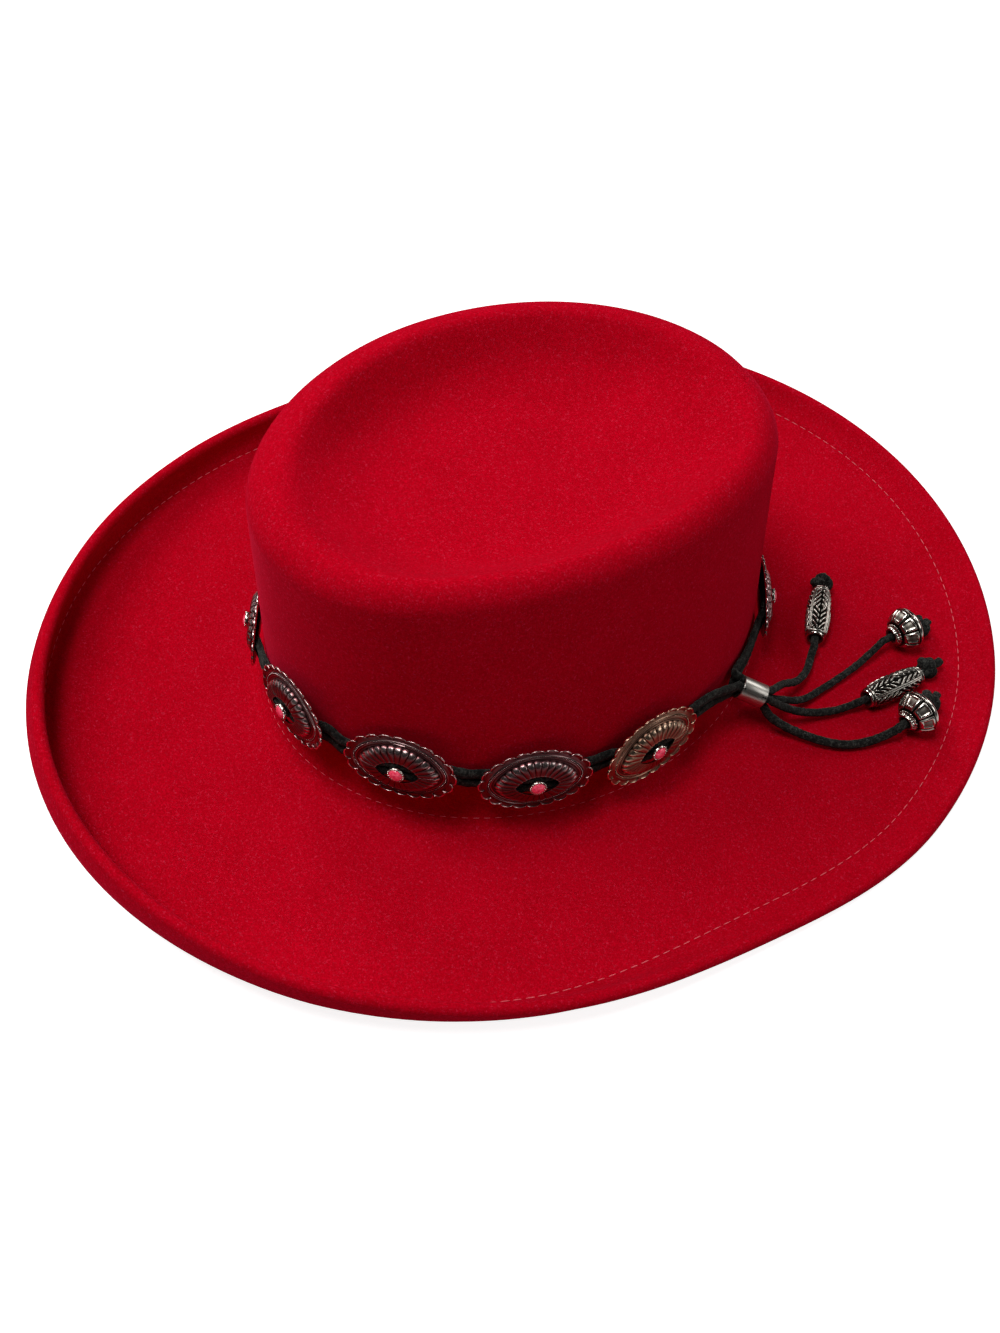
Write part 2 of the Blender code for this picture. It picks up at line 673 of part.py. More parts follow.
def make_sleeve():
    sleeve = bmesh.new()
    radius = SLEEVE_DIAMETER / 2
    bmesh.ops.create_cone(
        sleeve, cap_ends=True, segments=20, radius1=radius, radius2=radius, depth=SLEEVE_LENGTH,
    )
    rims = [edge for edge in sleeve.edges if abs(edge.verts[0].co.z - edge.verts[1].co.z) < CLEARANCE]
    bmesh.ops.bevel(
        sleeve, geom=rims, offset=SLEEVE_BEVEL, segments=1, profile=0.5, affect="EDGES", material=-1,
    )
    sleeve.transform(sleeve_frame() @ Matrix.Translation((0, 0, SLEEVE_LENGTH / 2)))
    return finish("sleeve", sleeve, bright, 40)


def material(name, colour, metallic, roughness):
    made = bpy.data.materials.new(name)
    made.use_nodes = True
    surface = made.node_tree.nodes["Principled BSDF"]
    surface.inputs["Base Color"].default_value = (*colour, 1)
    surface.inputs["Metallic"].default_value = metallic
    surface.inputs["Roughness"].default_value = roughness
    made.diffuse_color = (*colour, 1)
    return made


def finish(name, solid, surface, sharp_angle):
    """Object from a solid, facing outwards and smooth up to an angle."""
    bmesh.ops.recalc_face_normals(solid, faces=solid.faces)
    mesh = bpy.data.meshes.new(name)
    solid.to_mesh(mesh)
    solid.free()
    mesh.shade_smooth()
    mesh.set_sharp_from_angle(angle=math.radians(sharp_angle))
    mesh.materials.append(surface)
    made = bpy.data.objects.new(name, mesh)
    hat.objects.link(made)
    return made


for old in list(bpy.data.objects):
    bpy.data.objects.remove(old)

hat = bpy.data.collections.new("gambler_hat")
bpy.context.scene.collection.children.link(hat)

felt = material("felt", FELT_COLOUR, 0, 0.95)
suede = material("suede", LACE_COLOUR, 0, 0.9)
silver = material("antique_silver", SILVER_COLOUR, 1, 0.4)
bright = material("plain_silver", SLEEVE_COLOUR, 1, 0.3)
crystal = material("crystal", STONE_COLOUR, 0, 0.1)

felt_body = make_felt_body()
make_lace("upper_lace", 1)
make_lace("lower_lace", -1)
for number, lie in enumerate(CONCHOS, 1):
    make_concho(number, lie)
    make_stone(number, lie)
make_sleeve()
for number, tail in enumerate(TAILS, 1):
    make_tail(number, tail)
    make_bead(number, tail)
    make_knot(number, tail)

corners = [vert.co for vert in felt_body.data.vertices]
middle_x = (min(co.x for co in corners) + max(co.x for co in corners)) / 2
middle_y = (min(co.y for co in corners) + max(co.y for co in corners)) / 2
for piece in hat.objects:
    piece.data.transform(Matrix.Translation((-middle_x, -middle_y, 0)))
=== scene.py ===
import json
import random
from math import atan, atan2, cos, degrees, hypot, pi, radians, sin, sqrt, tan

import bmesh
import bpy
from mathutils import Matrix, Vector, noise

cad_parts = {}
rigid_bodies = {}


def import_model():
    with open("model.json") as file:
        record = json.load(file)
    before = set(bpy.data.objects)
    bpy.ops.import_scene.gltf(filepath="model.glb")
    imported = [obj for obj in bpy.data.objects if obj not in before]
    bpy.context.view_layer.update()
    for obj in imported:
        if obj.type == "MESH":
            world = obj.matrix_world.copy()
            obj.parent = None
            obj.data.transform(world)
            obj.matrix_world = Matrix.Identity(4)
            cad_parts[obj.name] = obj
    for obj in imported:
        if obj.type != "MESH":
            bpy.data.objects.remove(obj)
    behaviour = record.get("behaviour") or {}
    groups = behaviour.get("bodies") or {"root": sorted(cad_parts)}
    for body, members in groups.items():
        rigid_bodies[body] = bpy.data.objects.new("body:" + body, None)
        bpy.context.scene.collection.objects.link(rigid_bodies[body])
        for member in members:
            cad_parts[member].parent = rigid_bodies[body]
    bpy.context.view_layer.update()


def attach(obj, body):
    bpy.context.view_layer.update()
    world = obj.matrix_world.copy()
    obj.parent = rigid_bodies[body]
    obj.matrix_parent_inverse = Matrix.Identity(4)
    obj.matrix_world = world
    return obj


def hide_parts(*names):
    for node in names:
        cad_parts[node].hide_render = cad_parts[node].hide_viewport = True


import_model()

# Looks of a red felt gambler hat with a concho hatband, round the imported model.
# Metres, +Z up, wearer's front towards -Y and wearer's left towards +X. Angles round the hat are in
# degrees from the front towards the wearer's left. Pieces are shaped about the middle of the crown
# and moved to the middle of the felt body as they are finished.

hatMiddle = Vector((0.0040297, 0.0049937, 0))  # middle of the felt body, from the middle of the crown
clearance = 0.0003
scene = bpy.context.scene

cameraSet = {
    "place": (0.28397, -0.22219, 0.43950),
    "right": (0.5187, 0.8523, 0.0674),
    "up": (-0.6943, 0.3739, 0.6150),
    "back": (0.4990, -0.3657, 0.7857),
    "lens": 37.81, "sensor": 36, "near": 0.01, "far": 20,
}


def makeCamera():
    data = bpy.data.cameras.new("photo_camera")
    data.lens = cameraSet["lens"]
    data.sensor_width = cameraSet["sensor"]
    data.clip_start = cameraSet["near"]
    data.clip_end = cameraSet["far"]
    camera = bpy.data.objects.new("photo_camera", data)
    scene.collection.objects.link(camera)
    axes = [Vector(cameraSet[name]) for name in ("right", "up", "back")]
    turned = Matrix(axes).transposed().to_4x4()
    turned.translation = Vector(cameraSet["place"])
    camera.matrix_world = turned
    scene.camera = camera


makeCamera()
print("camera ready")


# Sets a node's values, with a link where a socket is given in place of a value.
def feed(tree, node, values):
    for name, value in values.items():
        if isinstance(value, bpy.types.NodeSocket):
            tree.links.new(value, node.inputs[name])
        else:
            node.inputs[name].default_value = value


def addNode(tree, kind, values=None, **settings):
    node = tree.nodes.new("ShaderNode" + kind)
    for name, value in settings.items():
        setattr(node, name, value)
    feed(tree, node, values or {})
    return node


def objectPlace(tree):
    return addNode(tree, "TexCoord").outputs["Object"]


def attribute(tree, name):
    return addNode(tree, "Attribute", attribute_name=name).outputs["Fac"]


def addNoise(tree, place, scale, detail, roughness=0.5, distortion=0.0):
    return addNode(tree, "TexNoise", {
        "Vector": place, "Scale": scale, "Detail": detail, "Roughness": roughness, "Distortion": distortion,
    }).outputs["Fac"]


def addRange(tree, value, low, high, toLow=0.0, toHigh=1.0):
    return addNode(tree, "MapRange", {
        "Value": value, "From Min": low, "From Max": high, "To Min": toLow, "To Max": toHigh,
    }).outputs["Result"]


def addMath(tree, operation, *values, **settings):
    return addNode(tree, "Math", dict(enumerate(values)), operation=operation, **settings).outputs[0]


def addBump(tree, height, strength, distance):
    bump = addNode(tree, "Bump", {"Height": height, "Strength": strength, "Distance": distance})
    return bump.outputs["Normal"]


# The second colour over the first, by the factor.
def mixColours(tree, factor, first, second):
    ends = [value if isinstance(value, bpy.types.NodeSocket) else (*value, 1) for value in (first, second)]
    mix = addNode(tree, "Mix", {"Factor": factor, "A": ends[0], "B": ends[1]}, data_type="RGBA")
    return mix.outputs["Result"]


def newGroup(name, inputs):
    group = bpy.data.node_groups.new(name, "ShaderNodeTree")
    for label, value in inputs.items():
        kind = "NodeSocketFloat" if isinstance(value, float) else "NodeSocketColor"
        socket = group.interface.new_socket(label, in_out="INPUT", socket_type=kind)
        socket.default_value = value
    return group, group.nodes.new("NodeGroupInput").outputs


def closeGroup(group, results):
    for label, source in results.items():
        kind = "NodeSocketColor" if source.type == "RGBA" else "NodeSocketFloat"
        group.interface.new_socket(label, in_out="OUTPUT", socket_type=kind)
    feed(group, group.nodes.new("NodeGroupOutput"), results)
    return group


# Hairy nap of felt and suede: a height for bump, a mask of light hairs, a slow mottling and specks of lint.
def napGroup():
    group, given = newGroup("nap", {"Hair Scale": 900.0, "Mottle Scale": 30.0, "Lint": 0.7})
    place = objectPlace(group)
    hairs = addNoise(group, place, given["Hair Scale"], 4.0, 0.7, 0.6)
    lintScale = addMath(group, "MULTIPLY", given["Hair Scale"], 0.95)
    lint = addNoise(group, place, lintScale, 1.0, 0.4, 1.5)
    return closeGroup(group, {
        "Height": hairs,
        "Hairs": addRange(group, hairs, 0.42, 0.68),
        "Mottle": addNoise(group, place, given["Mottle Scale"], 3.0, 0.55),
        "Lint": addRange(group, lint, given["Lint"], 0.85),
    })


# Old metal: dark in the low places, tarnished on the faces and worn bright on the edges. For the antique
# silver these colours are also tinted red, a painted reflection of the red felt.
agedWear = {
    "faces": (0.05, 0.42), "edges": (0.45, 1.0), "clouds": 180.0, "scratches": 900.0, "scratchDepth": 0.0001,
}


def agedGroup():
    group, given = newGroup("aged_metal", {
        "Worn": (0.4, 0.4, 0.4, 1), "Body": (0.2, 0.2, 0.2, 1), "Dark": (0.02, 0.02, 0.02, 1),
        "Tarnish": 0.3, "Smooth": 0.22, "Rough": 0.5, "Scratches": 400.0,
    })
    place = objectPlace(group)
    cloud = addMath(group, "SUBTRACT", addNoise(group, place, agedWear["clouds"], 4.0, 0.6), 0.5)
    tarnish = addMath(group, "MULTIPLY", cloud, given["Tarnish"])
    worn = addMath(group, "ADD", attribute(group, "relief"), tarnish, use_clamp=True)
    body = mixColours(group, addRange(group, worn, *agedWear["faces"]), given["Dark"], given["Body"])
    rough = addNode(group, "Mix", {"Factor": worn, "A": given["Rough"], "B": given["Smooth"]},
                    data_type="FLOAT")
    return closeGroup(group, {
        "Colour": mixColours(group, addRange(group, worn, *agedWear["edges"]), body, given["Worn"]),
        "Roughness": rough.outputs["Result"],
        "Height": addNoise(group, place, given["Scratches"], 3.0, 0.6),
    })


nap = napGroup()
aged = agedGroup()


def newFinish(name, values):
    made = bpy.data.materials.new(name)
    made.use_nodes = True
    surface = made.node_tree.nodes["Principled BSDF"]
    feed(made.node_tree, surface, values)
    return made, made.node_tree, surface


def napNode(tree, look):
    values = {"Hair Scale": look["hairScale"], "Mottle Scale": look["mottleScale"], "Lint": look["lintFrom"]}
    return addNode(tree, "Group", values, node_tree=nap).outputs


# Surface of felt or suede: its deep and light colours by the factor, with lint over them.
def coverWithNap(tree, surface, look, hair, factor):
    ground = mixColours(tree, factor, look["deep"], look["light"])
    share = addMath(tree, "MULTIPLY", hair["Lint"], look["lintShare"])
    feed(tree, surface, {
        "Base Color": mixColours(tree, share, ground, look["lint"]),
        "Normal": addBump(tree, hair["Height"], look["bump"], look["bumpDepth"]),
    })


feltLook = {
    "deep": (0.285, 0.0003, 0.0040), "light": (0.500, 0.0010, 0.0130), "lint": (0.72, 0.055, 0.13),
    "hairScale": 1250.0, "mottleScale": 42.0, "lintFrom": 0.58, "lintShare": 0.34,
    "base": 0.05, "hairShare": 0.75, "mottleShare": 0.40, "bump": 0.30, "bumpDepth": 0.0004,
}


def feltFinish():
    made, tree, surface = newFinish("red_wool_felt", {
        "Roughness": 0.95, "Specular IOR Level": 0.0,
        "Sheen Weight": 0.24, "Sheen Roughness": 0.38, "Sheen Tint": (1.0, 0.035, 0.11, 1),
    })
    hair = napNode(tree, feltLook)
    hairs = addMath(tree, "MULTIPLY_ADD", hair["Hairs"], feltLook["hairShare"], feltLook["base"])
    both = addMath(tree, "MULTIPLY_ADD", hair["Mottle"], feltLook["mottleShare"], hairs)
    coverWithNap(tree, surface, feltLook, hair, both)
    return made


suedeLook = {
    "deep": (0.0022, 0.0023, 0.0021), "light": (0.066, 0.068, 0.060), "lint": (0.20, 0.20, 0.18),
    "hairScale": 1150.0, "mottleScale": 520.0, "lintFrom": 0.58, "lintShare": 0.40,
    "spots": (0.40, 0.66), "bump": 0.9, "bumpDepth": 0.0006,
}


def suedeFinish():
    made, tree, surface = newFinish("black_suede", {
        "Roughness": 0.95, "Specular IOR Level": 0.15,
        "Sheen Weight": 0.07, "Sheen Roughness": 0.5, "Sheen Tint": (0.75, 0.78, 0.72, 1),
    })
    hair = napNode(tree, suedeLook)
    spots = addRange(tree, hair["Mottle"], *suedeLook["spots"])
    coverWithNap(tree, surface, suedeLook, hair, addMath(tree, "MULTIPLY", hair["Hairs"], spots))
    return made


agedLooks = {
    # Tinted red, the body colour most of all: a painted reflection of the red felt round the conchos, over
    # the silver's own tarnish.
    "antique_silver_face": {
        "worn": (0.80, 0.66, 0.64), "body": (0.17, 0.062, 0.066), "dark": (0.016, 0.006, 0.007),
        "tarnish": 0.16, "smooth": 0.20, "rough": 0.42, "bump": 0.08,
    },
    "antique_bronze_face": {
        "worn": (0.86, 0.64, 0.46), "body": (0.30, 0.155, 0.105), "dark": (0.020, 0.009, 0.006),
        "tarnish": 0.16, "smooth": 0.20, "rough": 0.42, "bump": 0.08,
    },
    "bead_silver": {
        "worn": (0.66, 0.62, 0.56), "body": (0.20, 0.18, 0.155), "dark": (0.006, 0.005, 0.004),
        "tarnish": 0.12, "smooth": 0.16, "rough": 0.50, "bump": 0.06,
    },
}


def agedFinish(name):
    look = agedLooks[name]
    made, tree, surface = newFinish(name, {"Metallic": 1.0})
    metal = addNode(tree, "Group", {
        "Worn": (*look["worn"], 1), "Body": (*look["body"], 1), "Dark": (*look["dark"], 1),
        "Tarnish": look["tarnish"], "Smooth": look["smooth"], "Rough": look["rough"],
        "Scratches": agedWear["scratches"],
    }, node_tree=aged).outputs
    feed(tree, surface, {
        "Base Color": metal["Colour"], "Roughness": metal["Roughness"],
        "Normal": addBump(tree, metal["Height"], look["bump"], agedWear["scratchDepth"]),
    })
    return made


# Plain silver of the sleeve, polished along its length; its colour runs in darker and lighter bands along the
# length, painted reflections, while the same streaks roughen and bump it as brushing.
brushedLook = {
    "paintedDarkBand": (0.33, 0.31, 0.28), "bright": (0.56, 0.53, 0.48), "roughness": (0.27, 0.40),
    "brushStreaksAndPaintedBands": 9.0, "bump": 0.08, "bumpDepth": 0.0002,
}


def brushedFinish():
    made, tree, surface = newFinish("brushed_silver", {"Metallic": 1.0})
    brushStreaksAndPaintedBands = addNode(tree, "TexNoise", {
        "W": attribute(tree, "round"), "Scale": brushedLook["brushStreaksAndPaintedBands"], "Detail": 5.0, "Roughness": 0.65,
    }, noise_dimensions="1D").outputs["Fac"]
    feed(tree, surface, {
        # Painted reflections: the colour is darker and lighter in bands along the tube.
        "Base Color": mixColours(tree, brushStreaksAndPaintedBands, brushedLook["paintedDarkBand"], brushedLook["bright"]),
        "Roughness": addRange(tree, brushStreaksAndPaintedBands, 0.0, 1.0, *brushedLook["roughness"]),
        "Normal": addBump(tree, brushStreaksAndPaintedBands, brushedLook["bump"], brushedLook["bumpDepth"]),
    })
    return made


# Foiled crystal with a clear hard face; its body glows a little, painted light in place of the foil's shine,
# and its colour has painted glints.
def crystalFinish():
    made, tree, surface = newFinish("rose_crystal", {
        "Roughness": 0.10, "Coat Weight": 1.0, "Coat Roughness": 0.02,
        # Painted light: a faint red glow standing in for light thrown back by the foil.
        "Emission Color": (0.75, 0.030, 0.075, 1), "Emission Strength": 0.22,
    })
    # Painted glints: random brighter spots in the crystal's colour.
    paintedGlints = addRange(tree, addNoise(tree, objectPlace(tree), 900.0, 2.0), 0.35, 0.65)
    feed(tree, surface, {"Base Color": mixColours(tree, paintedGlints, (0.62, 0.025, 0.07), (0.95, 0.12, 0.20))})
    return made


def threadFinish():
    made, tree, surface = newFinish("stitch_thread", {"Roughness": 0.7, "Specular IOR Level": 0.3})
    plies = addNoise(tree, objectPlace(tree), 2200.0, 2.0)
    feed(tree, surface, {
        "Base Color": mixColours(tree, plies, (0.52, 0.04, 0.07), (0.78, 0.16, 0.19)),
        "Normal": addBump(tree, plies, 0.4, 0.0002),
    })
    return made


felt = feltFinish()
suede = suedeFinish()
antique, bronzed, beadSilver = [agedFinish(name) for name in agedLooks]
brushed = brushedFinish()
crystal = crystalFinish()
thread = threadFinish()
print("finishes ready")


def bend(start, end, startSlope, endSlope, share):
    square = share * share
    cube = square * share
    return (
        start * (2 * cube - 3 * square + 1)
        + startSlope * (cube - 2 * square + share)
        + end * (3 * square - 2 * cube)
        + endSlope * (cube - square)
    )


# Value at an angle, on a smooth closed curve through values that stand at even steps from the front.
def atAngle(values, angle):
    place = (angle % 360) / (360 / len(values))
    index = int(place)
    before, start, end, after = (values[(index + k) % len(values)] for k in (-1, 0, 1, 2))
    return bend(start, end, (end - before) / 2, (after - start) / 2, place - index)


# Value on a smooth open curve through (place, value) pairs; flat says that it leaves both ends level.
def alongPairs(pairs, place, flat=False):
    index = 0
    while index < len(pairs) - 2 and place > pairs[index + 1][0]:
        index += 1
    (startPlace, start), (endPlace, end) = pairs[index], pairs[index + 1]
    width = endPlace - startPlace
    straight = (end - start) / width

    def slope(at):
        if 0 < at < len(pairs) - 1:
            return (pairs[at + 1][1] - pairs[at - 1][1]) / (pairs[at + 1][0] - pairs[at - 1][0])
        return 0 if flat else straight

    share = (place - startPlace) / width
    return bend(start, end, slope(index) * width, slope(index + 1) * width, share)


def ease(value, low, high):
    share = min(1, max(0, (value - low) / (high - low)))
    return share * share * (3 - 2 * share)


# 1 at a place and 0 from a width away from it, rounded like a ridge.
def ridge(value, place, width):
    return max(0, 1 - ((value - place) / width) ** 2)


# How far a place is across one of its repeats, which are 1 long: 0 half-way through and 1 at both ends.
def acrossRepeat(place):
    return abs(place % 1 - 0.5) * 2


# A flat web of rows and columns spun about the middle, for a piece that goes all the way round.
def spunWeb(rows, columns):
    web = bmesh.new()
    line = [web.verts.new((row + 1, 0, 0)) for row in range(rows)]
    steps = [web.edges.new(pair) for pair in zip(line, line[1:])]
    bmesh.ops.spin(
        web, geom=line + steps, cent=(0, 0, 0), axis=(0, 0, 1), angle=2 * pi, steps=columns,
        use_merge=True, use_duplicate=False,
    )
    return web


# A spun web with each of its points moved; place(column, row) gives where it goes, and its relief.
def shapeWeb(rows, columns, place):
    web = spunWeb(rows, columns)
    relief = web.verts.layers.float.new("relief")
    for vert in web.verts:
        row = round(vert.co.length) - 1
        column = round(atan2(vert.co.y, vert.co.x) / (2 * pi) * columns) % columns
        vert.co, vert[relief] = place(column, row)
    bmesh.ops.remove_doubles(web, verts=web.verts, dist=0.000002)
    bmesh.ops.recalc_face_normals(web, faces=web.faces)
    return web


def turns(sides, offset=0.0):
    return [2 * pi * (side + offset) / sides for side in range(sides)]


# A point at a turn about the Z axis.
def atTurn(turn, across, up=0.0):
    return Vector((across * cos(turn), across * sin(turn), up))


def meshOf(name, shape):
    mesh = bpy.data.meshes.new(name)
    shape.to_mesh(mesh)
    shape.free()
    return mesh


def addShape(whole, part):
    mesh = meshOf("part", part)
    whole.from_mesh(mesh)
    bpy.data.meshes.remove(mesh)


# A small round grain added to a shape, with its relief.
def addGrain(whole, place, radius, subdivisions, relief):
    grain = bmesh.new()
    bmesh.ops.create_icosphere(grain, subdivisions=subdivisions, radius=radius)
    worn = grain.verts.layers.float.new("relief")
    for vert in grain.verts:
        vert[worn] = relief
    grain.transform(Matrix.Translation(place))
    addShape(whole, grain)


def finishPiece(name, shape, finishes, nodes=(), sharp=180):
    shape.transform(Matrix.Translation(-hatMiddle))
    mesh = meshOf(name, shape)
    mesh.shade_smooth()
    mesh.set_sharp_from_angle(angle=radians(sharp))
    for made in finishes:
        mesh.materials.append(made)
    piece = bpy.data.objects.new(name, mesh)
    scene.collection.objects.link(piece)
    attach(piece, "root")
    if nodes:
        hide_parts(*nodes)
    return piece


crown = {
    "felt": 0.0024, "length": 0.2032, "width": 0.1632, "topLength": 0.1964, "topWidth": 0.1572,
    "height": 0.1096, "forward": 0.0060, "right": 0.0019, "shoulder": 0.014, "dish": 0.020,
    "footOut": 0.008, "footUp": 0.012,
    # Every 45 degrees: the hatband's height as a share of the crown's, and the shoulder's radius.
    "band": [0.28, 0.27, 0.235, 0.19, 0.17, 0.18, 0.19, 0.205],
    "shoulders": [0.0110, 0.0078, 0.0072, 0.0090, 0.0120, 0.0140, 0.0150, 0.0160],
    # Every 30 degrees: how far the wall leans in at its top, from leanStart, a share of the height.
    "leans": [0, 0.0030, 0.0116, 0.0146, 0.0098, 0.0014, 0, 0, 0, 0, 0, 0], "leanStart": 0.30,
}
lift = Vector((0, 0, crown["felt"]))


def oval(angle, length, width):
    turn = radians(angle)
    return Vector((width / 2 * sin(turn), -length / 2 * cos(turn), 0))


def outward(angle):
    turn = radians(angle)
    return Vector((sin(turn) / crown["width"], -cos(turn) / crown["length"], 0)).normalized()


# Length and width of the crown at a height, where its wall is straight.
def crownOval(height):
    share = height / (crown["height"] - crown["shoulder"])
    length = crown["length"] + (crown["topLength"] - crown["length"]) * share
    return length, crown["width"] + (crown["topWidth"] - crown["width"]) * share


# An edge raised to a height of the crown, which leans forwards and to the right.
def atHeight(edge, height):
    share = height / crown["height"]
    shift = Vector((-crown["right"] * share, -crown["forward"] * share, 0))
    return edge + shift + Vector((0, 0, height)) + lift


def crownPoint(angle, height, out=0.0):
    return atHeight(oval(angle, *crownOval(height)) + outward(angle) * out, height)


def bandPoint(angle, out, up=0.0):
    return crownPoint(angle, crown["height"] * atAngle(crown["band"], angle) + up, out)


def angleAlong(angle, distance):
    steps = 20
    for _ in range(steps):
        turn = radians(angle)
        pace = hypot(crown["width"] / 2 * cos(turn), crown["length"] / 2 * sin(turn))
        angle += degrees(distance / steps / pace)
    return angle


# Points at about the given spacing on a smooth curve through the given points.
def smoothRoute(points, spacing):
    route = [points[0]]
    for index in range(len(points) - 1):
        before = points[max(index - 1, 0)]
        start = points[index]
        end = points[index + 1]
        after = points[min(index + 2, len(points) - 1)]
        steps = max(1, round((end - start).length / spacing))
        for step in range(1, steps + 1):
            route.append(bend(start, end, (end - before) / 2, (after - start) / 2, step / steps))
    return route


# How far each point of a line is from its first one, along the line.
def runLengths(points):
    lengths = [0]
    for start, end in zip(points, points[1:]):
        lengths.append(lengths[-1] + (end - start).length)
    return lengths


# Unevenness of a suede surface, as (scale, depth).
suedeBumps = [(1300, 0.00021), (520, 0.00016)]


def nubby(point):
    return sum(noise.noise(point * scale) * depth for scale, depth in suedeBumps)


laceShape = {
    "height": 0.0040, "flat": 0.0026, "end": 0.0036, "offWall": 0.0006, "close": 0.000005,
    "spacing": 0.0007, "tailSpacing": 0.0005, "cordSpacing": 0.0032,
    "waverStep": 0.23, "waverSeed": 7.3, "bumpSeed": 0.1,
}


# Tube of a lace along a route; section is its (thickness, height).
def laceTube(name, route, section, sides=20, fuzz=0.03, seed=1):
    curve = bpy.data.curves.new(name, "CURVE")
    curve.dimensions = "3D"
    curve.twist_mode = "Z_UP"
    curve.use_fill_caps = True
    spline = curve.splines.new("POLY")
    spline.points.add(len(route) - 1)
    for index, (point, place) in enumerate(zip(spline.points, route)):
        point.co = (*place, 1)
        waver = Vector((index * laceShape["waverStep"], seed * laceShape["waverSeed"], 0))
        point.radius = 1 + fuzz * noise.noise(waver)
    outline = bpy.data.curves.new(name + "_section", "CURVE")
    ring = outline.splines.new("POLY")
    ring.points.add(sides - 1)
    ring.use_cyclic_u = True
    thickness, height = section
    for point, turn in zip(ring.points, turns(sides)):
        point.co = (thickness / 2 * cos(turn), height / 2 * sin(turn), 0, 1)
    curve.bevel_mode = "OBJECT"
    curve.bevel_object = bpy.data.objects.new(name + "_section", outline)
    guides = [bpy.data.objects.new(name + "_line", curve), curve.bevel_object]
    for guide in guides:
        scene.collection.objects.link(guide)
    mesh = bpy.data.meshes.new_from_object(guides[0].evaluated_get(bpy.context.evaluated_depsgraph_get()))
    for guide in guides:
        bpy.data.curves.remove(guide.data)
    tube = bmesh.new()
    tube.from_mesh(mesh)
    bpy.data.meshes.remove(mesh)
    bmesh.ops.remove_doubles(tube, verts=tube.verts, dist=laceShape["close"])
    bmesh.ops.recalc_face_normals(tube, faces=tube.faces)
    tube.normal_update()
    shift = Vector((seed * laceShape["bumpSeed"], 0, 0))
    moves = [vert.normal * nubby(vert.co + shift) for vert in tube.verts]
    for vert, move in zip(tube.verts, moves):
        vert.co += move
    return tube


sleeveShape = {
    "diameter": 0.0094, "length": 0.0105, "wall": 0.0007, "foot": (0.0751, 0.0518, 0.0234),
    "turn": 49, "fall": 21, "recess": 0.0016, "rounding": 0.0003, "columns": 72,
    "brushStreaksAndPaintedBands": 4, "tight": 0.9, "stub": 0.98, "stubStep": 0.0006, "stubIn": 0.0004, "stubSides": 16,
}
beadKinds = {
    "barrel": {
        "length": 0.0270, "width": 0.0104, "solid": 0.0104, "rise": 0,
        "cut": 0.00060, "rows": 108, "columns": 128,
        "profile": [
            (0, 0.68), (0.06, 0.80), (0.28, 0.97), (0.50, 1.0), (0.72, 0.97), (0.94, 0.80), (1, 0.68),
        ],
    },
    "domed": {
        "length": 0.0122, "width": 0.0174, "solid": 0.0160, "rise": 7,
        "cut": 0.00070, "rows": 72, "columns": 144,
        "profile": [
            (0, 0.38), (0.10, 0.46), (0.22, 0.70), (0.45, 0.93), (0.72, 1.0), (0.86, 0.86), (1, 0.50),
        ],
    },
}

# Places in millimetres from the middle of the crown, as the solids have them; lace is in metres.
tails = [
    {
        "start": (1, 1), "lace": 0.0030, "bead": "barrel", "entry": (62.6, 104.3, 7.9), "turn": 135,
        "route": [(78.2, 73, 15), (76.9, 82.6, 9.4), (73.2, 91.5, 6.4), (67.4, 99.2, 6)],
        "knot": 4.9, "aside": 0, "tip": 0.8,
    },
    {
        "start": (1, -1), "lace": 0.0029, "bead": "domed", "entry": (78, 131, 10), "turn": 88,
        "route": [(82.7, 70.8, 11.6), (84, 80.8, 7), (82.8, 92.6, 5.2), (81.6, 104, 5.2), (80, 115, 6.2)],
        "knot": 4.9, "aside": 1, "tip": 0.8,
    },
    {
        "start": (-1, 1), "lace": 0.0031, "bead": "barrel", "entry": (96.4, 102.8, 7.9), "turn": 88,
        "route": [(85.8, 65.2, 15.4), (88.8, 72.4, 10.6), (91.2, 80, 7.4), (93.5, 88.2, 5.8), (95, 95.6, 6)],
        "knot": 6.0, "aside": 1.7, "tip": 3.2,
    },
    {
        "start": (-1, -1), "lace": 0.0034, "bead": "domed", "entry": (114, 106.6, 10), "turn": 96,
        "route": [(86.6, 60.6, 12.4), (91, 65, 8.4), (97.4, 70.6, 6.4), (103.6, 76.4, 5.6),
                  (108.6, 83.2, 5.2), (111.4, 91, 5.2), (113.2, 98.8, 6.6)],
        "knot": 6.4, "aside": 3, "tip": 1.6,
    },
]


def direction(turnDegrees, riseDegrees):
    turn = radians(turnDegrees)
    rise = radians(riseDegrees)
    return Vector((cos(turn) * cos(rise), sin(turn) * cos(rise), sin(rise)))


def sleeveFrame():
    turn = radians(sleeveShape["turn"])
    along = direction(sleeveShape["turn"], -sleeveShape["fall"])
    across = Vector((-sin(turn), cos(turn), 0))
    place = Matrix((across, along.cross(across), along)).transposed().to_4x4()
    place.translation = Vector(sleeveShape["foot"])
    return place


def cordInSleeve(across, up, along):
    apart = laceShape["height"] / 2 + clearance
    return sleeveFrame() @ Vector((across * apart, up * apart, along))


def beadDirection(tail):
    return direction(tail["turn"], beadKinds[tail["bead"]]["rise"])


def beadPlace(tail):
    place = beadDirection(tail).to_track_quat("Z", "Y").to_matrix().to_4x4()
    place.translation = Vector(tail["entry"]) / 1000
    return place


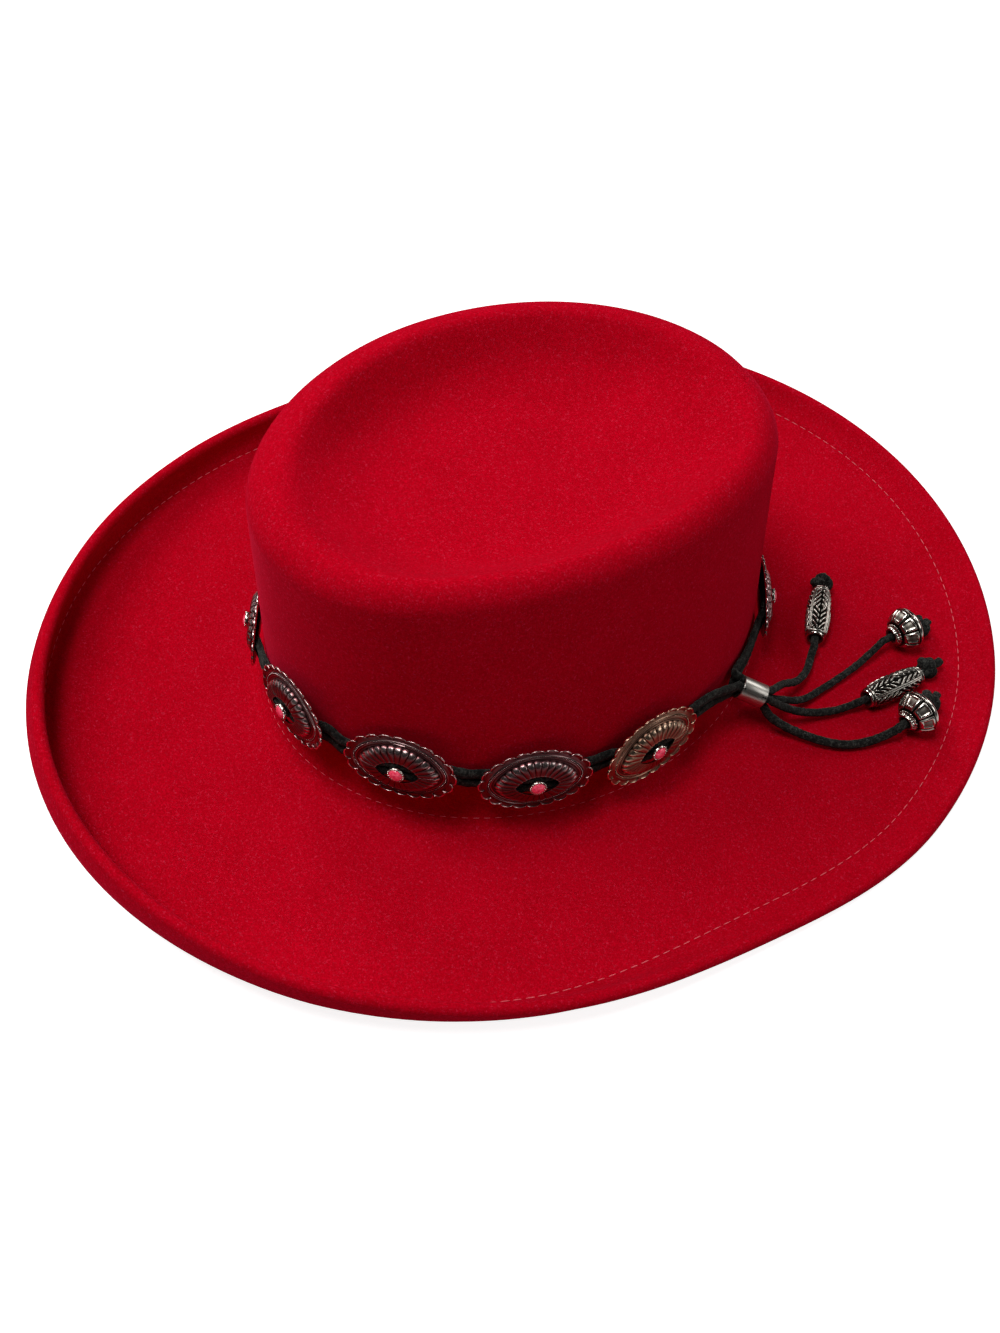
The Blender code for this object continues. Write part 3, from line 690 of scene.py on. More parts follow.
# Route of a tail's lace with about the given spacing, from the sleeve to the far end of its bead.
def tailRoute(tail, spacing):
    entry = Vector(tail["entry"]) / 1000
    along = beadDirection(tail)
    length = beadKinds[tail["bead"]]["length"]
    points = [cordInSleeve(*tail["start"], sleeveShape["length"] + 2 * clearance)]
    points.append(cordInSleeve(*tail["start"], sleeveShape["length"] + 0.5 * laceShape["height"]))
    points += [Vector(place) / 1000 for place in tail["route"]]
    points.append(entry - along * laceShape["height"])
    route = smoothRoute(points, spacing)
    straight = [entry - along * laceShape["height"], entry + along * (length + clearance)]
    return route + smoothRoute(straight, spacing)[1:]


# Fern leaves of the barrel beads: 1 on the ridges and 0 in the cut lines. Shares run from the bead's
# middle to its ends, and across from a leaf's middle line to the line between two leaves.
leaf = {
    "leaves": 4, "bands": 4.8, "slant": 1.9, "end": 0.94, "groove": 0.90, "collar": 0.85, "collarRelief": 0.8,
    "vein": ((0.02, 0.07), (0.15, 0.21)), "veinRelief": 0.80,
    "blade": ((0.20, 0.28), (0.82, 0.94)), "tip": (0.80, 0.84), "cuts": (0.42, 0.85),
}


def leafRelief(around, share):
    side = acrossRepeat(around * leaf["leaves"])
    far = abs(share * 2 - 1)
    if far > leaf["end"]:
        return 1.0
    if far > leaf["groove"]:
        return 0.0
    if far > leaf["collar"]:
        return leaf["collarRelief"]
    veinStart, veinEnd = leaf["vein"]
    bladeStart, bladeEnd = leaf["blade"]
    vein = ease(side, *veinStart) * (1 - ease(side, *veinEnd))
    wave = 0.5 + 0.5 * cos(2 * pi * (far * leaf["bands"] - side * leaf["slant"]))
    blade = ease(side, *bladeStart) * (1 - ease(side, *bladeEnd)) * (1 - ease(far, *leaf["tip"]))
    return max(leaf["veinRelief"] * vein, ease(wave, *leaf["cuts"]) * blade)


# Shell plates of the domed beads, between a ring of grains at the hole and a bright rim.
shell = {
    "grains": 18, "grainEnd": 0.15, "grainGap": (0.45, 0.95), "grainStart": (0.02, 0.06), "grainDepth": 0.8,
    "plates": 8, "plateStart": 0.20, "plateEnd": 0.62, "sideSlope": 3.0, "endSlope": 13.8, "endFrom": 0.40,
    "edge": (0.35, 0.70), "hollow": (1.20, 1.75), "hollowDepth": 0.62,
    "rim": (0.67, 0.78), "back": 0.83, "backRelief": 0.55,
}


def plateRelief(around, share):
    if share < shell["grainEnd"]:
        gap = ease(acrossRepeat(around * shell["grains"]), *shell["grainGap"])
        return 1 - shell["grainDepth"] * gap * ease(share, *shell["grainStart"])
    if shell["rim"][0] < share < shell["rim"][1]:
        return 1.0
    if share > shell["back"]:
        return shell["backRelief"]
    if share < shell["plateStart"] or share > shell["plateEnd"]:
        return 0.0
    side = (1 - acrossRepeat(around * shell["plates"])) * shell["sideSlope"]
    end = min(share - shell["plateStart"], shell["plateEnd"] - share) * shell["endSlope"] + shell["endFrom"]
    inwards = min(side, end)
    return ease(inwards, *shell["edge"]) * (1 - shell["hollowDepth"] * ease(inwards, *shell["hollow"]))


engraving = {"barrel": leafRelief, "domed": plateRelief}


# Bead with its engraving outside and its bore inside, as one closed shape.
def makeBead(number, tail):
    kind = beadKinds[tail["bead"]]
    outside = kind["rows"]
    bore = laceShape["end"] / 2 + 1.5 * clearance
    half = kind["width"] / 2
    length = kind["length"]
    inside = [(length, 0.75), (length, 0.35), (length * 0.9, 0), (length * 0.1, 0), (0, 0.35), (0, 0.75)]

    def place(column, row):
        if row <= outside or row == outside + len(inside) + 1:
            share = 0 if row > outside else row / outside
            relief = engraving[tail["bead"]](column / kind["columns"], share)
            radius = half * alongPairs(kind["profile"], share) - kind["cut"] * (1 - relief)
            height = length * share
        else:
            height, across = inside[row - outside - 1]
            end = half * kind["profile"][0 if height < length / 2 else -1][1]
            radius = bore + (end - bore) * across
            relief = 0.3
        return atTurn(2 * pi * column / kind["columns"], radius, height), relief

    bead = shapeWeb(outside + len(inside) + 2, kind["columns"], place)
    bead.transform(Matrix.Translation((0, 0, kind["width"] / 2 - kind["solid"] / 2)) @ beadPlace(tail))
    return finishPiece(f"bead_{number}_engraved", bead, [beadSilver], [f"bead_{number}"])


knotShape = {
    "length": 0.0084, "height": 0.0080, "loop": 0.00225, "sway": 0.00060, "wide": 1.15, "deep": 0.00135,
    "steps": 60, "lace": 0.0036, "core": 0.0029, "fuzz": 0.12,
    "end": (0.0034, 0.0026), "bend": (0.0004, 0.0003), "endBend": (-0.0003, 0.0002),
    "entry": 0.0032, "entryOut": 0.0006, "entryAside": 0.7,
}


# Pulled overhand knot: a lace wound round itself, with its bare end standing out.
def makeKnot(number, tail):
    along = beadDirection(tail)
    level = Vector((along.x, along.y, 0)).normalized()
    place = level.to_track_quat("Y", "Z").to_matrix().to_4x4()
    past = beadKinds[tail["bead"]]["length"] + tail["knot"] / 1000
    aside = Vector((-level.y, level.x, 0)) * (tail["aside"] / 1000)
    place.translation = Vector(tail["entry"]) / 1000 + along * past + aside
    place.translation.z = crown["felt"] + 2 * clearance + knotShape["height"] / 2
    loops = []
    for step in range(knotShape["steps"] + 1):
        turn = 2 * pi * step / knotShape["steps"]
        across = knotShape["loop"] + knotShape["sway"] * cos(3 * turn)
        loops.append(Vector((
            across * cos(2 * turn + number) * knotShape["wide"],
            knotShape["deep"] * sin(3 * turn),
            across * sin(2 * turn + number),
        )))
    thick = (knotShape["lace"], knotShape["lace"])
    knot = laceTube(f"knot_{number}", loops, thick, fuzz=knotShape["fuzz"], seed=number)
    core = bmesh.new()
    bmesh.ops.create_icosphere(core, subdivisions=3, radius=knotShape["core"])
    addShape(knot, core)
    half = knotShape["length"] / 2
    reach = half + tail["tip"] / 1000
    (bendAcross, bendUp), (endAcross, endUp) = knotShape["bend"], knotShape["endBend"]
    middle = Vector((0, 0, 0))
    stub = [middle, Vector((bendAcross, reach * 0.5, bendUp)), Vector((endAcross, reach, endUp))]
    entryAcross = tail["aside"] / 1000 * knotShape["entryAside"]
    entry = [Vector((entryAcross, -half - knotShape["entryOut"], 0)), middle]
    for name, points, section, seed in (
        (f"knot_end_{number}", stub, knotShape["end"], number),
        (f"knot_start_{number}", entry, (knotShape["entry"], knotShape["entry"]), number + 9),
    ):
        addShape(knot, laceTube(name, smoothRoute(points, laceShape["spacing"]), section, seed=seed))
    knot.transform(place)
    return finishPiece(f"knot_{number}_tied", knot, [suede], [f"knot_{number}"])


def makeTail(number, tail):
    route = [point - hatMiddle for point in tailRoute(tail, laceShape["cordSpacing"])]
    fine = tailRoute(tail, laceShape["tailSpacing"])
    tube = laceTube(f"tail_{number}", fine, (tail["lace"], tail["lace"]), seed=number)
    piece = finishPiece(f"tail_{number}_lace", tube, [suede], [f"tail_{number}"])


for number, tail in enumerate(tails, 1):
    bead = makeBead(number, tail)
    knot = makeKnot(number, tail)
    makeTail(number, tail)
print("tails, beads and knots ready")


# Open tube with rolled rims; stubs of the four laces fill it.
def makeSleeve():
    radius = sleeveShape["diameter"] / 2
    length = sleeveShape["length"]
    wall = sleeveShape["wall"]
    rounding = sleeveShape["rounding"]
    recess = sleeveShape["recess"]
    ring = []
    for start, across in ((0, radius - rounding), (90, radius - wall + rounding)):
        for step in range(4):
            turn = radians(start + 30 * step)
            ring.append((across + rounding * cos(turn), rounding - rounding * sin(turn)))
    section = [(0, recess), (radius - wall, recess)] + list(reversed(ring))
    section += [(across, length - along) for across, along in reversed(section)]
    columns = sleeveShape["columns"]

    def place(column, row):
        return atTurn(2 * pi * column / columns, *section[row]), 1.0

    sleeve = shapeWeb(len(section), columns, place)
    # Place round the tube, for the brushing streaks and the painted reflection bands along its length.
    paintedBandPlace = sleeve.verts.layers.float.new("round")
    for vert in sleeve.verts:
        vert[paintedBandPlace] = abs(atan2(vert.co.y, vert.co.x)) / pi * sleeveShape["brushStreaksAndPaintedBands"]
    for face in sleeve.faces:
        middle = face.calc_center_median()
        face.material_index = int(hypot(middle.x, middle.y) < radius - wall * 1.01)
    apart = (laceShape["height"] / 2 + clearance) * sleeveShape["tight"]
    thick = laceShape["end"] * sleeveShape["stub"]
    for across in (-1, 1):
        for up in (-1, 1):
            for low in (-4 * clearance, length - recess - sleeveShape["stubIn"]):
                heights = [low + step * sleeveShape["stubStep"] for step in range(5)]
                line = [Vector((across * apart, up * apart, height)) for height in heights]
                stub = laceTube("stub", line, (thick, thick), sides=sleeveShape["stubSides"])
                for face in stub.faces:
                    face.material_index = 1
                addShape(sleeve, stub)
    sleeve.transform(sleeveFrame())
    finishPiece("sleeve_tube", sleeve, [brushed, suede], ["sleeve"], 50)


makeSleeve()
print("sleeve ready")


# Places at even steps inwards.
def ladder(start, step, count):
    return [start - step * index for index in range(count)]


# Places on the face are shares of the way from the opening, at 0, to the rim, at 1.
concho = {
    "length": 0.0415, "height": 0.0295, "dome": 0.0042, "columns": 280,
    "openingLength": 0.0160, "openingHeight": 0.0094, "pinch": 0.60,
    "laceRise": 0.0029, "shell": 0.0006, "hold": 0.46, "follow": 0.8, "fineTurns": 3600, "evenAt": 0.8,
    "profile": [(0, 0.93), (0.20, 0.84), (0.40, 0.68), (0.52, 0.46), (0.60, 0.30), (0.78, 0.25), (1, 0.22)],
    "scallops": 20, "scallopDepth": 0.135, "scallopStart": 0.79, "scallopRise": 0.00025, "scallopLevel": 0.6,
    "petals": (0.80, 0.95), "rim": 0.00034, "rimPlace": 0.982, "rimWidth": 0.022,
    "flange": 0.00030, "flangePlace": (0.78, 0.97),
    "flutes": 28, "fluteEnd": 0.47, "fluteRound": 0.085, "fluteDepth": 0.00062, "fluteFull": 0.985,
    "fluteGrows": (0.02, 0.40), "fluteTop": (0.12, 0.50), "knobFrom": (0.34, 0.50), "knobTop": (0.45, 0.85),
    "rings": [(0.755, 0.00030, 0.015), (0.645, 0.00022, 0.014)],
    "rope": 0.700, "ropeBeads": 140, "ropeBead": 0.00031, "ropeTrough": 0.00012, "ropeWidth": 0.034,
    "ropeProud": 0.00002, "gap": 0.60, "gapWidth": 0.030, "lip": (0.015, 0.05),
    "rows": [1.0, 0.997, 0.992, 0.985, 0.977, 0.969, 0.963, 0.955] + ladder(0.943, 0.0135, 11)
    + ladder(0.796, 0.0105, 25) + [0.52, 0.50, 0.48, 0.455, 0.43, 0.40, 0.36, 0.32] + ladder(0.28, 0.04, 6)
    + [0.05, 0.02, 0.0],
    "back": [(0.0, 0.4), (0.01, 1.0), (0.20, 1.0), (0.40, 1.0), (0.58, 1.0), (0.75, 1.0), (0.90, 1.0),
             (0.980, 1.0), (0.998, 0.7)],
}
conchoPlaces = [  # lift in millimetres, and what each is turned, raised and tilted by in degrees
    {"angle": 335, "lift": -1, "turn": 0, "rise": 16, "tilt": 5},
    {"angle": 10, "lift": 5.5, "turn": -7, "rise": 18, "tilt": 3},
    {"angle": 39, "lift": 4, "turn": -4, "rise": 4, "tilt": 7},
    {"angle": 67, "lift": 0.5, "turn": -1, "rise": 0, "tilt": 8},
    {"angle": 92.5, "lift": 1.6, "turn": 3, "rise": 8, "tilt": 10},
    {"angle": 150, "lift": -0.5, "turn": 0, "rise": -12, "tilt": 8},
    {"angle": 179, "lift": 0, "turn": 0, "rise": -2, "tilt": 8},
    {"angle": 207, "lift": 0.5, "turn": 2, "rise": 1, "tilt": 8},
    {"angle": 234, "lift": 0, "turn": 0, "rise": 0, "tilt": 8},
    {"angle": 262, "lift": -0.5, "turn": -2, "rise": 3, "tilt": 8},
    {"angle": 298, "lift": 0, "turn": 0, "rise": 4, "tilt": 8},
]
bronzedConcho = 5
# How worn each part of the face is.
wear = {
    "face": 0.40, "valley": 0.30, "rim": 0.60, "ring": 0.25, "rope": 0.30, "gap": 0.25,
    "flute": 0.42, "knob": 0.36, "lip": 0.55, "bead": 0.7, "backEdge": 1.0, "back": 0.5,
}


def wallRadius(angle):
    turn = radians(angle)
    halfLength = crown["length"] / 2
    halfWidth = crown["width"] / 2
    square = (halfLength * sin(turn)) ** 2 + (halfWidth * cos(turn)) ** 2
    return square ** 1.5 / (halfLength * halfWidth)


# Distance of a concho from the wall, and how far the laces behind it stand off the wall.
def seat(lie):
    tilt = radians(lie["tilt"])
    half = concho["length"] * concho["hold"]
    sag = half * half / (2 * wallRadius(lie["angle"]))
    overLaces = laceShape["offWall"] + laceShape["flat"] + laceShape["height"] * sin(tilt) + clearance
    overLaces += half * abs(sin(radians(lie["turn"]))) - sag
    out = max(overLaces, concho["height"] / 2 * sin(tilt) + 2 * clearance)
    return out, laceShape["offWall"] + (out - overLaces) * concho["follow"]


def conchoFrame(lie):
    out = outward(lie["angle"])
    up = Vector((0, 0, 1))
    place = Matrix((up.cross(out), up, out)).transposed().to_4x4()
    place.translation = bandPoint(lie["angle"], seat(lie)[0], lie["lift"] / 1000)
    place @= Matrix.Rotation(radians(lie["turn"]), 4, "Y")
    place @= Matrix.Rotation(radians(lie["rise"]), 4, "Z")
    return place @ Matrix.Rotation(radians(-lie["tilt"]), 4, "X")


def almond(turn, out):
    length = concho["openingLength"] + (concho["length"] - concho["openingLength"]) * out
    height = concho["openingHeight"] + (concho["height"] - concho["openingHeight"]) * out
    pinch = abs(sin(turn)) ** (concho["pinch"] * (1 - min(out, 1)))
    return Vector((length / 2 * cos(turn), height / 2 * sin(turn) * pinch, 0))


# Turns that stand at equal steps along the oval rim.
def evenTurns(count):
    fine = concho["fineTurns"]
    places = [almond(2 * pi * step / fine, concho["evenAt"]) for step in range(fine + 1)]
    lengths = runLengths(places)
    found = []
    step = 0
    for index in range(count):
        while lengths[step] < lengths[-1] * index / count:
            step += 1
        found.append(2 * pi * step / fine)
    return found


def faceHeight(out):
    return concho["dome"] * alongPairs(concho["profile"], out)


# How far a column stands in a scallop, from 0 where two meet to 1 in the middle of one.
def lobeAt(column):
    across = acrossRepeat(column * concho["scallops"] / concho["columns"])
    return sqrt(max(0, 1 - (1 - across) ** 2))


# How far in the rim stands between two scallops.
def scallopDip(column, out):
    return concho["scallopDepth"] * (1 - lobeAt(column)) * ease(out, concho["scallopStart"], 1.0)


# Face of the concho at a column and a share of the way out: how far out, how high and how worn.
def conchoFace(column, out):
    lobe = lobeAt(column)
    petal = ease(out, *concho["petals"])
    rim = sqrt(ridge(out, concho["rimPlace"], concho["rimWidth"]))
    flange = sin(pi * ease(out, *concho["flangePlace"]))
    height = faceHeight(out) + concho["rim"] * rim - concho["flange"] * flange
    height += concho["scallopRise"] * (lobe - concho["scallopLevel"]) * petal
    relief = wear["face"] - wear["valley"] * petal * (1 - lobe) * (1 - rim)
    relief += wear["rim"] * rim * (0.35 + 0.65 * lobe)
    for place, rise, width in concho["rings"]:
        ring = ridge(out, place, width)
        height += rise * ring
        relief = max(relief, wear["face"] + wear["ring"] * ring)
    trough = ridge(out, concho["rope"], concho["ropeWidth"])
    height -= concho["ropeTrough"] * trough
    relief -= wear["rope"] * trough + wear["gap"] * ridge(out, concho["gap"], concho["gapWidth"])
    if out < concho["fluteEnd"] + concho["fluteRound"]:
        across = acrossRepeat(column * concho["flutes"] / concho["columns"] + 0.5)
        beyond = max(0, (out - concho["fluteEnd"]) / concho["fluteRound"])
        swell = sqrt(max(0, 1 - concho["fluteFull"] * across ** 3 - beyond ** 2))
        height += concho["fluteDepth"] * (0.40 + 0.60 * ease(out, *concho["fluteGrows"])) * swell
        knob = ease(out, *concho["knobFrom"]) * ease(swell, *concho["knobTop"])
        relief = wear["flute"] * ease(swell, *concho["fluteTop"]) + wear["knob"] * knob
    lip = 1 - ease(out, *concho["lip"])
    return out - scallopDip(column, out), height, max(relief, wear["lip"] * lip)


def conchoShape():
    even = evenTurns(concho["columns"])
    rows = concho["rows"]
    back = concho["back"]

    def place(column, row):
        if row < len(rows):
            out, height, relief = conchoFace(column, rows[row])
        elif row == len(rows) + len(back):
            out, height, relief = conchoFace(column, rows[0])
        else:
            out, share = back[row - len(rows)]
            relief = wear["backEdge"] if out > 0.95 else wear["back"]
            height = faceHeight(out) - concho["shell"] * share
            out -= scallopDip(column, out)
        point = almond(even[column], out)
        point.z = height
        return point, relief

    whole = shapeWeb(len(rows) + len(back) + 1, concho["columns"], place)
    for turn in evenTurns(concho["ropeBeads"]):
        at = almond(turn, concho["rope"])
        at.z = faceHeight(concho["rope"]) + concho["ropeProud"]
        addGrain(whole, at, concho["ropeBead"], 1, wear["bead"])
    return meshOf("concho_shape", whole)


stone = {
    "cup": 0.0062, "rise": 0.0012, "width": 0.0050, "prongs": 18, "prong": 0.00036, "prongIn": 0.00034,
    "columns": 48,
}


# Cut stone in a cup with a ring of small grains over its edge.
def stoneShape():
    base = concho["dome"]
    rim = base + stone["rise"]
    half = stone["cup"] / 2
    foot = concho["laceRise"] + 0.0001
    section = [
        (0, foot), (half * 0.55, foot), (half * 0.62, base - 0.0010), (half * 0.85, base - 0.0004),
        (half * 0.97, base + 0.0002), (half, base + 0.0005), (half, rim - 0.0001), (half - 0.0001, rim),
        (half - 0.00035, rim), (half - 0.00045, rim - 0.0002), (half - 0.00055, base + 0.0006),
        (0, base + 0.0005),
    ]

    def place(column, row):
        return atTurn(2 * pi * column / stone["columns"], *section[row]), 0.9 if row > 2 else 0.2

    whole = shapeWeb(len(section), stone["columns"], place)
    for turn in turns(stone["prongs"]):
        addGrain(whole, atTurn(turn, half - stone["prongIn"], rim), stone["prong"], 2, 1.0)
    gem = bmesh.new()
    girdle = stone["width"] / 2
    levels = ((16, 0, girdle, -0.0001), (16, 0, girdle, 0.0001), (8, 0.5, girdle * 0.84, 0.00055),
              (8, 0, girdle * 0.60, 0.00095), (8, 0, girdle * 0.2, -0.0004))
    for sides, offset, across, up in levels:
        for turn in turns(sides, offset):
            gem.verts.new(atTurn(turn, across, rim + up))
    bmesh.ops.convex_hull(gem, input=gem.verts)
    bmesh.ops.recalc_face_normals(gem, faces=gem.faces)
    for face in gem.faces:
        face.material_index = 1
        face.smooth = False
    addShape(whole, gem)
    return meshOf("stone_shape", whole)


def makeConchos():
    face = conchoShape()
    gem = stoneShape()
    for number, lie in enumerate(conchoPlaces, 1):
        place = conchoFrame(lie)
        metal = bronzed if number == bronzedConcho else antique
        for mesh, kind, look, finishes, slotName, sharp in (
            (face, "concho", "fluted", [metal], "antique_silver", 70),
            (gem, "stone", "set", [beadSilver, crystal], "crystal", 55),
        ):
            copy = bmesh.new()
            copy.from_mesh(mesh)
            copy.transform(place)
            finishPiece(f"{kind}_{number}_{look}", copy, finishes, [f"{kind}_{number}"], sharp)
    bpy.data.meshes.remove(face)
    bpy.data.meshes.remove(gem)


makeConchos()
print("conchos and stones ready")


# Angles and shares of a concho's length where the hatband's laces leave the sleeve, go behind a concho
# and come through its opening, and how full they are.
band = {
    "fullness": 1.14, "start": 120, "leave": 121.5, "level": 129, "arrive": 110.5, "arriveUp": 0.4,
    "behind": 0.36, "through": 0.21, "overShell": 0.0004, "dip": 0.0003, "fuzz": 0.05,
}


# A lace of the hatband, over (side 1) or under (side -1) the other one, from the sleeve round and back.
def makeLace(name, side):
    out = laceShape["offWall"] + laceShape["flat"] / 2
    height = laceShape["height"] * band["fullness"]
    up = side * (height / 2 + 0.6 * clearance)
    lies = sorted(conchoPlaces, key=lambda lie: (lie["angle"] - band["start"]) % 360)
    reach = concho["length"] * band["behind"]
    inner = concho["length"] * band["through"]
    points = [cordInSleeve(1, side, -4 * clearance), cordInSleeve(1.02, side, -0.4 * height)]
    points.append(bandPoint(band["leave"], out + clearance, up * 1.05))
    points.append(bandPoint(band["level"], out + clearance, up))
    last = None
    for lie in lies:
        angle = lie["angle"]
        raised = lie["lift"] / 1000
        conchoOut, laceOut = seat(lie)
        behind = laceOut + laceShape["flat"] / 2
        through = conchoOut + concho["laceRise"] + band["overShell"] - laceShape["flat"] / 2
        if last is not None:
            points.append(bandPoint(last + (angle - last) % 360 / 2, out, up))
        last = angle
        for distance, away, share in (
            (-reach, behind, 0.4), (-inner, through - band["dip"], 0.9), (0, through, 1),
            (inner, through - band["dip"], 0.9), (reach, behind, 0.4),
        ):
            points.append(bandPoint(angleAlong(angle, distance), away, up + raised * share))
    points.append(bandPoint(band["arrive"], out + clearance, up + height * band["arriveUp"]))
    points += [cordInSleeve(-1.02, side, -0.4 * height), cordInSleeve(-1, side, -4 * clearance)]
    route = smoothRoute(points, laceShape["spacing"])
    lace = laceTube(name, route, (laceShape["flat"], height), fuzz=band["fuzz"], seed=side + 3)
    finishPiece(name + "_suede", lace, [suede], [name])


makeLace("upper_lace", 1)
makeLace("lower_lace", -1)
print("laces ready")


brim = {
    "reach": 0.088, "rise": 0.010, "flat": 0.036, "curl": 0.013, "lip": 0.004, "welt": 0.0115,
    "groove": 0.00035, "grooveWidth": 0.0010, "columns": 256,
    "inWelt": 0.0006, "pastWelt": 0.0004, "weltStep": (2.0, 1.75, 1.3, 1.0), "stitchDepth": 0.75,
    # Every 30 degrees: shares of the reach and of the rise, and the lip's slope in degrees.
    "reaches": [0.974, 0.940, 0.884, 0.853, 1.014, 1.105, 1.095, 0.980, 0.830, 0.760, 0.826, 0.908],
    "rises": [0.97, 0.74, 0.20, 0.0, 0.0, 0.0, 0.25, 0.40, 0.20, 0.05, 0.22, 0.70],
    "lips": [114, 94, 74, 34, 16, 32, 44, 60, 78, 85, 104, 120],
}
dish = {
    "pairs": [(0, 1.0), (0.36, 0.96), (0.63, 0.79), (0.85, 0.34), (1.0, 0.0)],
    "steep": [(0, 1.0), (0.38, 0.975), (0.66, 0.88), (0.82, 0.64), (0.92, 0.28), (1.0, 0.0)],
    "steepMiddle": 258, "steepEnd": 0.8,  # round the wearer's right
}
feltSteps = {
    "dish": 28, "shoulder": 10, "wall": 18, "foot": 10, "flat": 9, "rise": 12, "curl": 14, "lip": 3,
    "far": 20, "edge": 10, "flatBelow": 5, "footInside": 6, "wallInside": 8, "shoulderInside": 6,
    "dishInside": 14,
}
edgeRuns = [0.0012 * step for step in range(9)]  # back from the edge, closer together at the welt's groove
edgeRuns += [0.0104, 0.0109, 0.0112, 0.0115, 0.0118, 0.0121, 0.0126, 0.0134]


# Top of the brim in its own section, as (out from the waist, up, slope), from the flat to the lip.
def brimTop(angle):
    reach = brim["reach"] * atAngle(brim["reaches"], angle)
    start = max(0, brim["rise"] * atAngle(brim["rises"], angle))
    lip = radians(atAngle(brim["lips"], angle))
    rise = 0
    for _ in range(4):
        radius = brim["curl"] / (lip - rise)
        curlOut = radius * (sin(min(lip, pi / 2)) - sin(rise))
        curlOut += brim["lip"] * max(0, cos(lip))
        gentle = reach - curlOut - brim["flat"]
        rise = atan(2 * start / gentle)
    line = []
    for step in range(feltSteps["rise"] + 1):
        share = step / feltSteps["rise"]
        slope = atan(tan(rise) * share)
        line.append((brim["flat"] + gentle * share, start * share * share, slope))
    for step in range(1, feltSteps["curl"] + 1):
        slope = rise + (lip - rise) * step / feltSteps["curl"]
        out = brim["flat"] + gentle + radius * (sin(slope) - sin(rise))
        line.append((out, start + radius * (cos(rise) - cos(slope)), slope))
    endOut, endUp, _ = line[-1]
    for step in range(1, feltSteps["lip"] + 1):
        run = brim["lip"] * step / feltSteps["lip"]
        line.append((endOut + run * cos(lip), endUp + run * sin(lip), lip))
    return line


# Places on the brim's top at distances back from the edge, in one walk down the line.
def walkBack(line, runs):
    found = []
    index = len(line) - 1
    passed = 0
    for run in runs:
        while True:
            outer, inner = line[index], line[index - 1]
            length = hypot(outer[0] - inner[0], outer[1] - inner[1])
            if run <= passed + length or index == 1:
                share = min(1, (run - passed) / length)
                found.append(tuple(outer[k] + (inner[k] - outer[k]) * share for k in range(3)))
                break
            passed += length
            index -= 1
    return found


# A point of the brim, out from the waist's oval and up from the brim's upper side.
def brimPoint(angle, out, up):
    return oval(angle, crown["length"], crown["width"]) + lift + outward(angle) * out + Vector((0, 0, up))


def underTop(place, depth):
    out, up, slope = place
    return (out + depth * sin(slope), max(up - depth * cos(slope), -crown["felt"]))


# How far a point of the crown moves in from the straight wall.
def leanIn(angle, height, across=1.0):
    share = max(0, height / crown["height"] - crown["leanStart"]) / (1 - crown["leanStart"])
    return outward(angle) * (-atAngle(crown["leans"], angle) * share * across)


# Places of a line at a count of even steps from start to end, without its two ends.
def stepsBetween(start, end, count):
    return [start + (end - start) * step / count for step in range(1, count)]


# Degrees of a quarter turn in a count of even steps.
def quarter(count):
    return [90 / count * step for step in range(count + 1)]


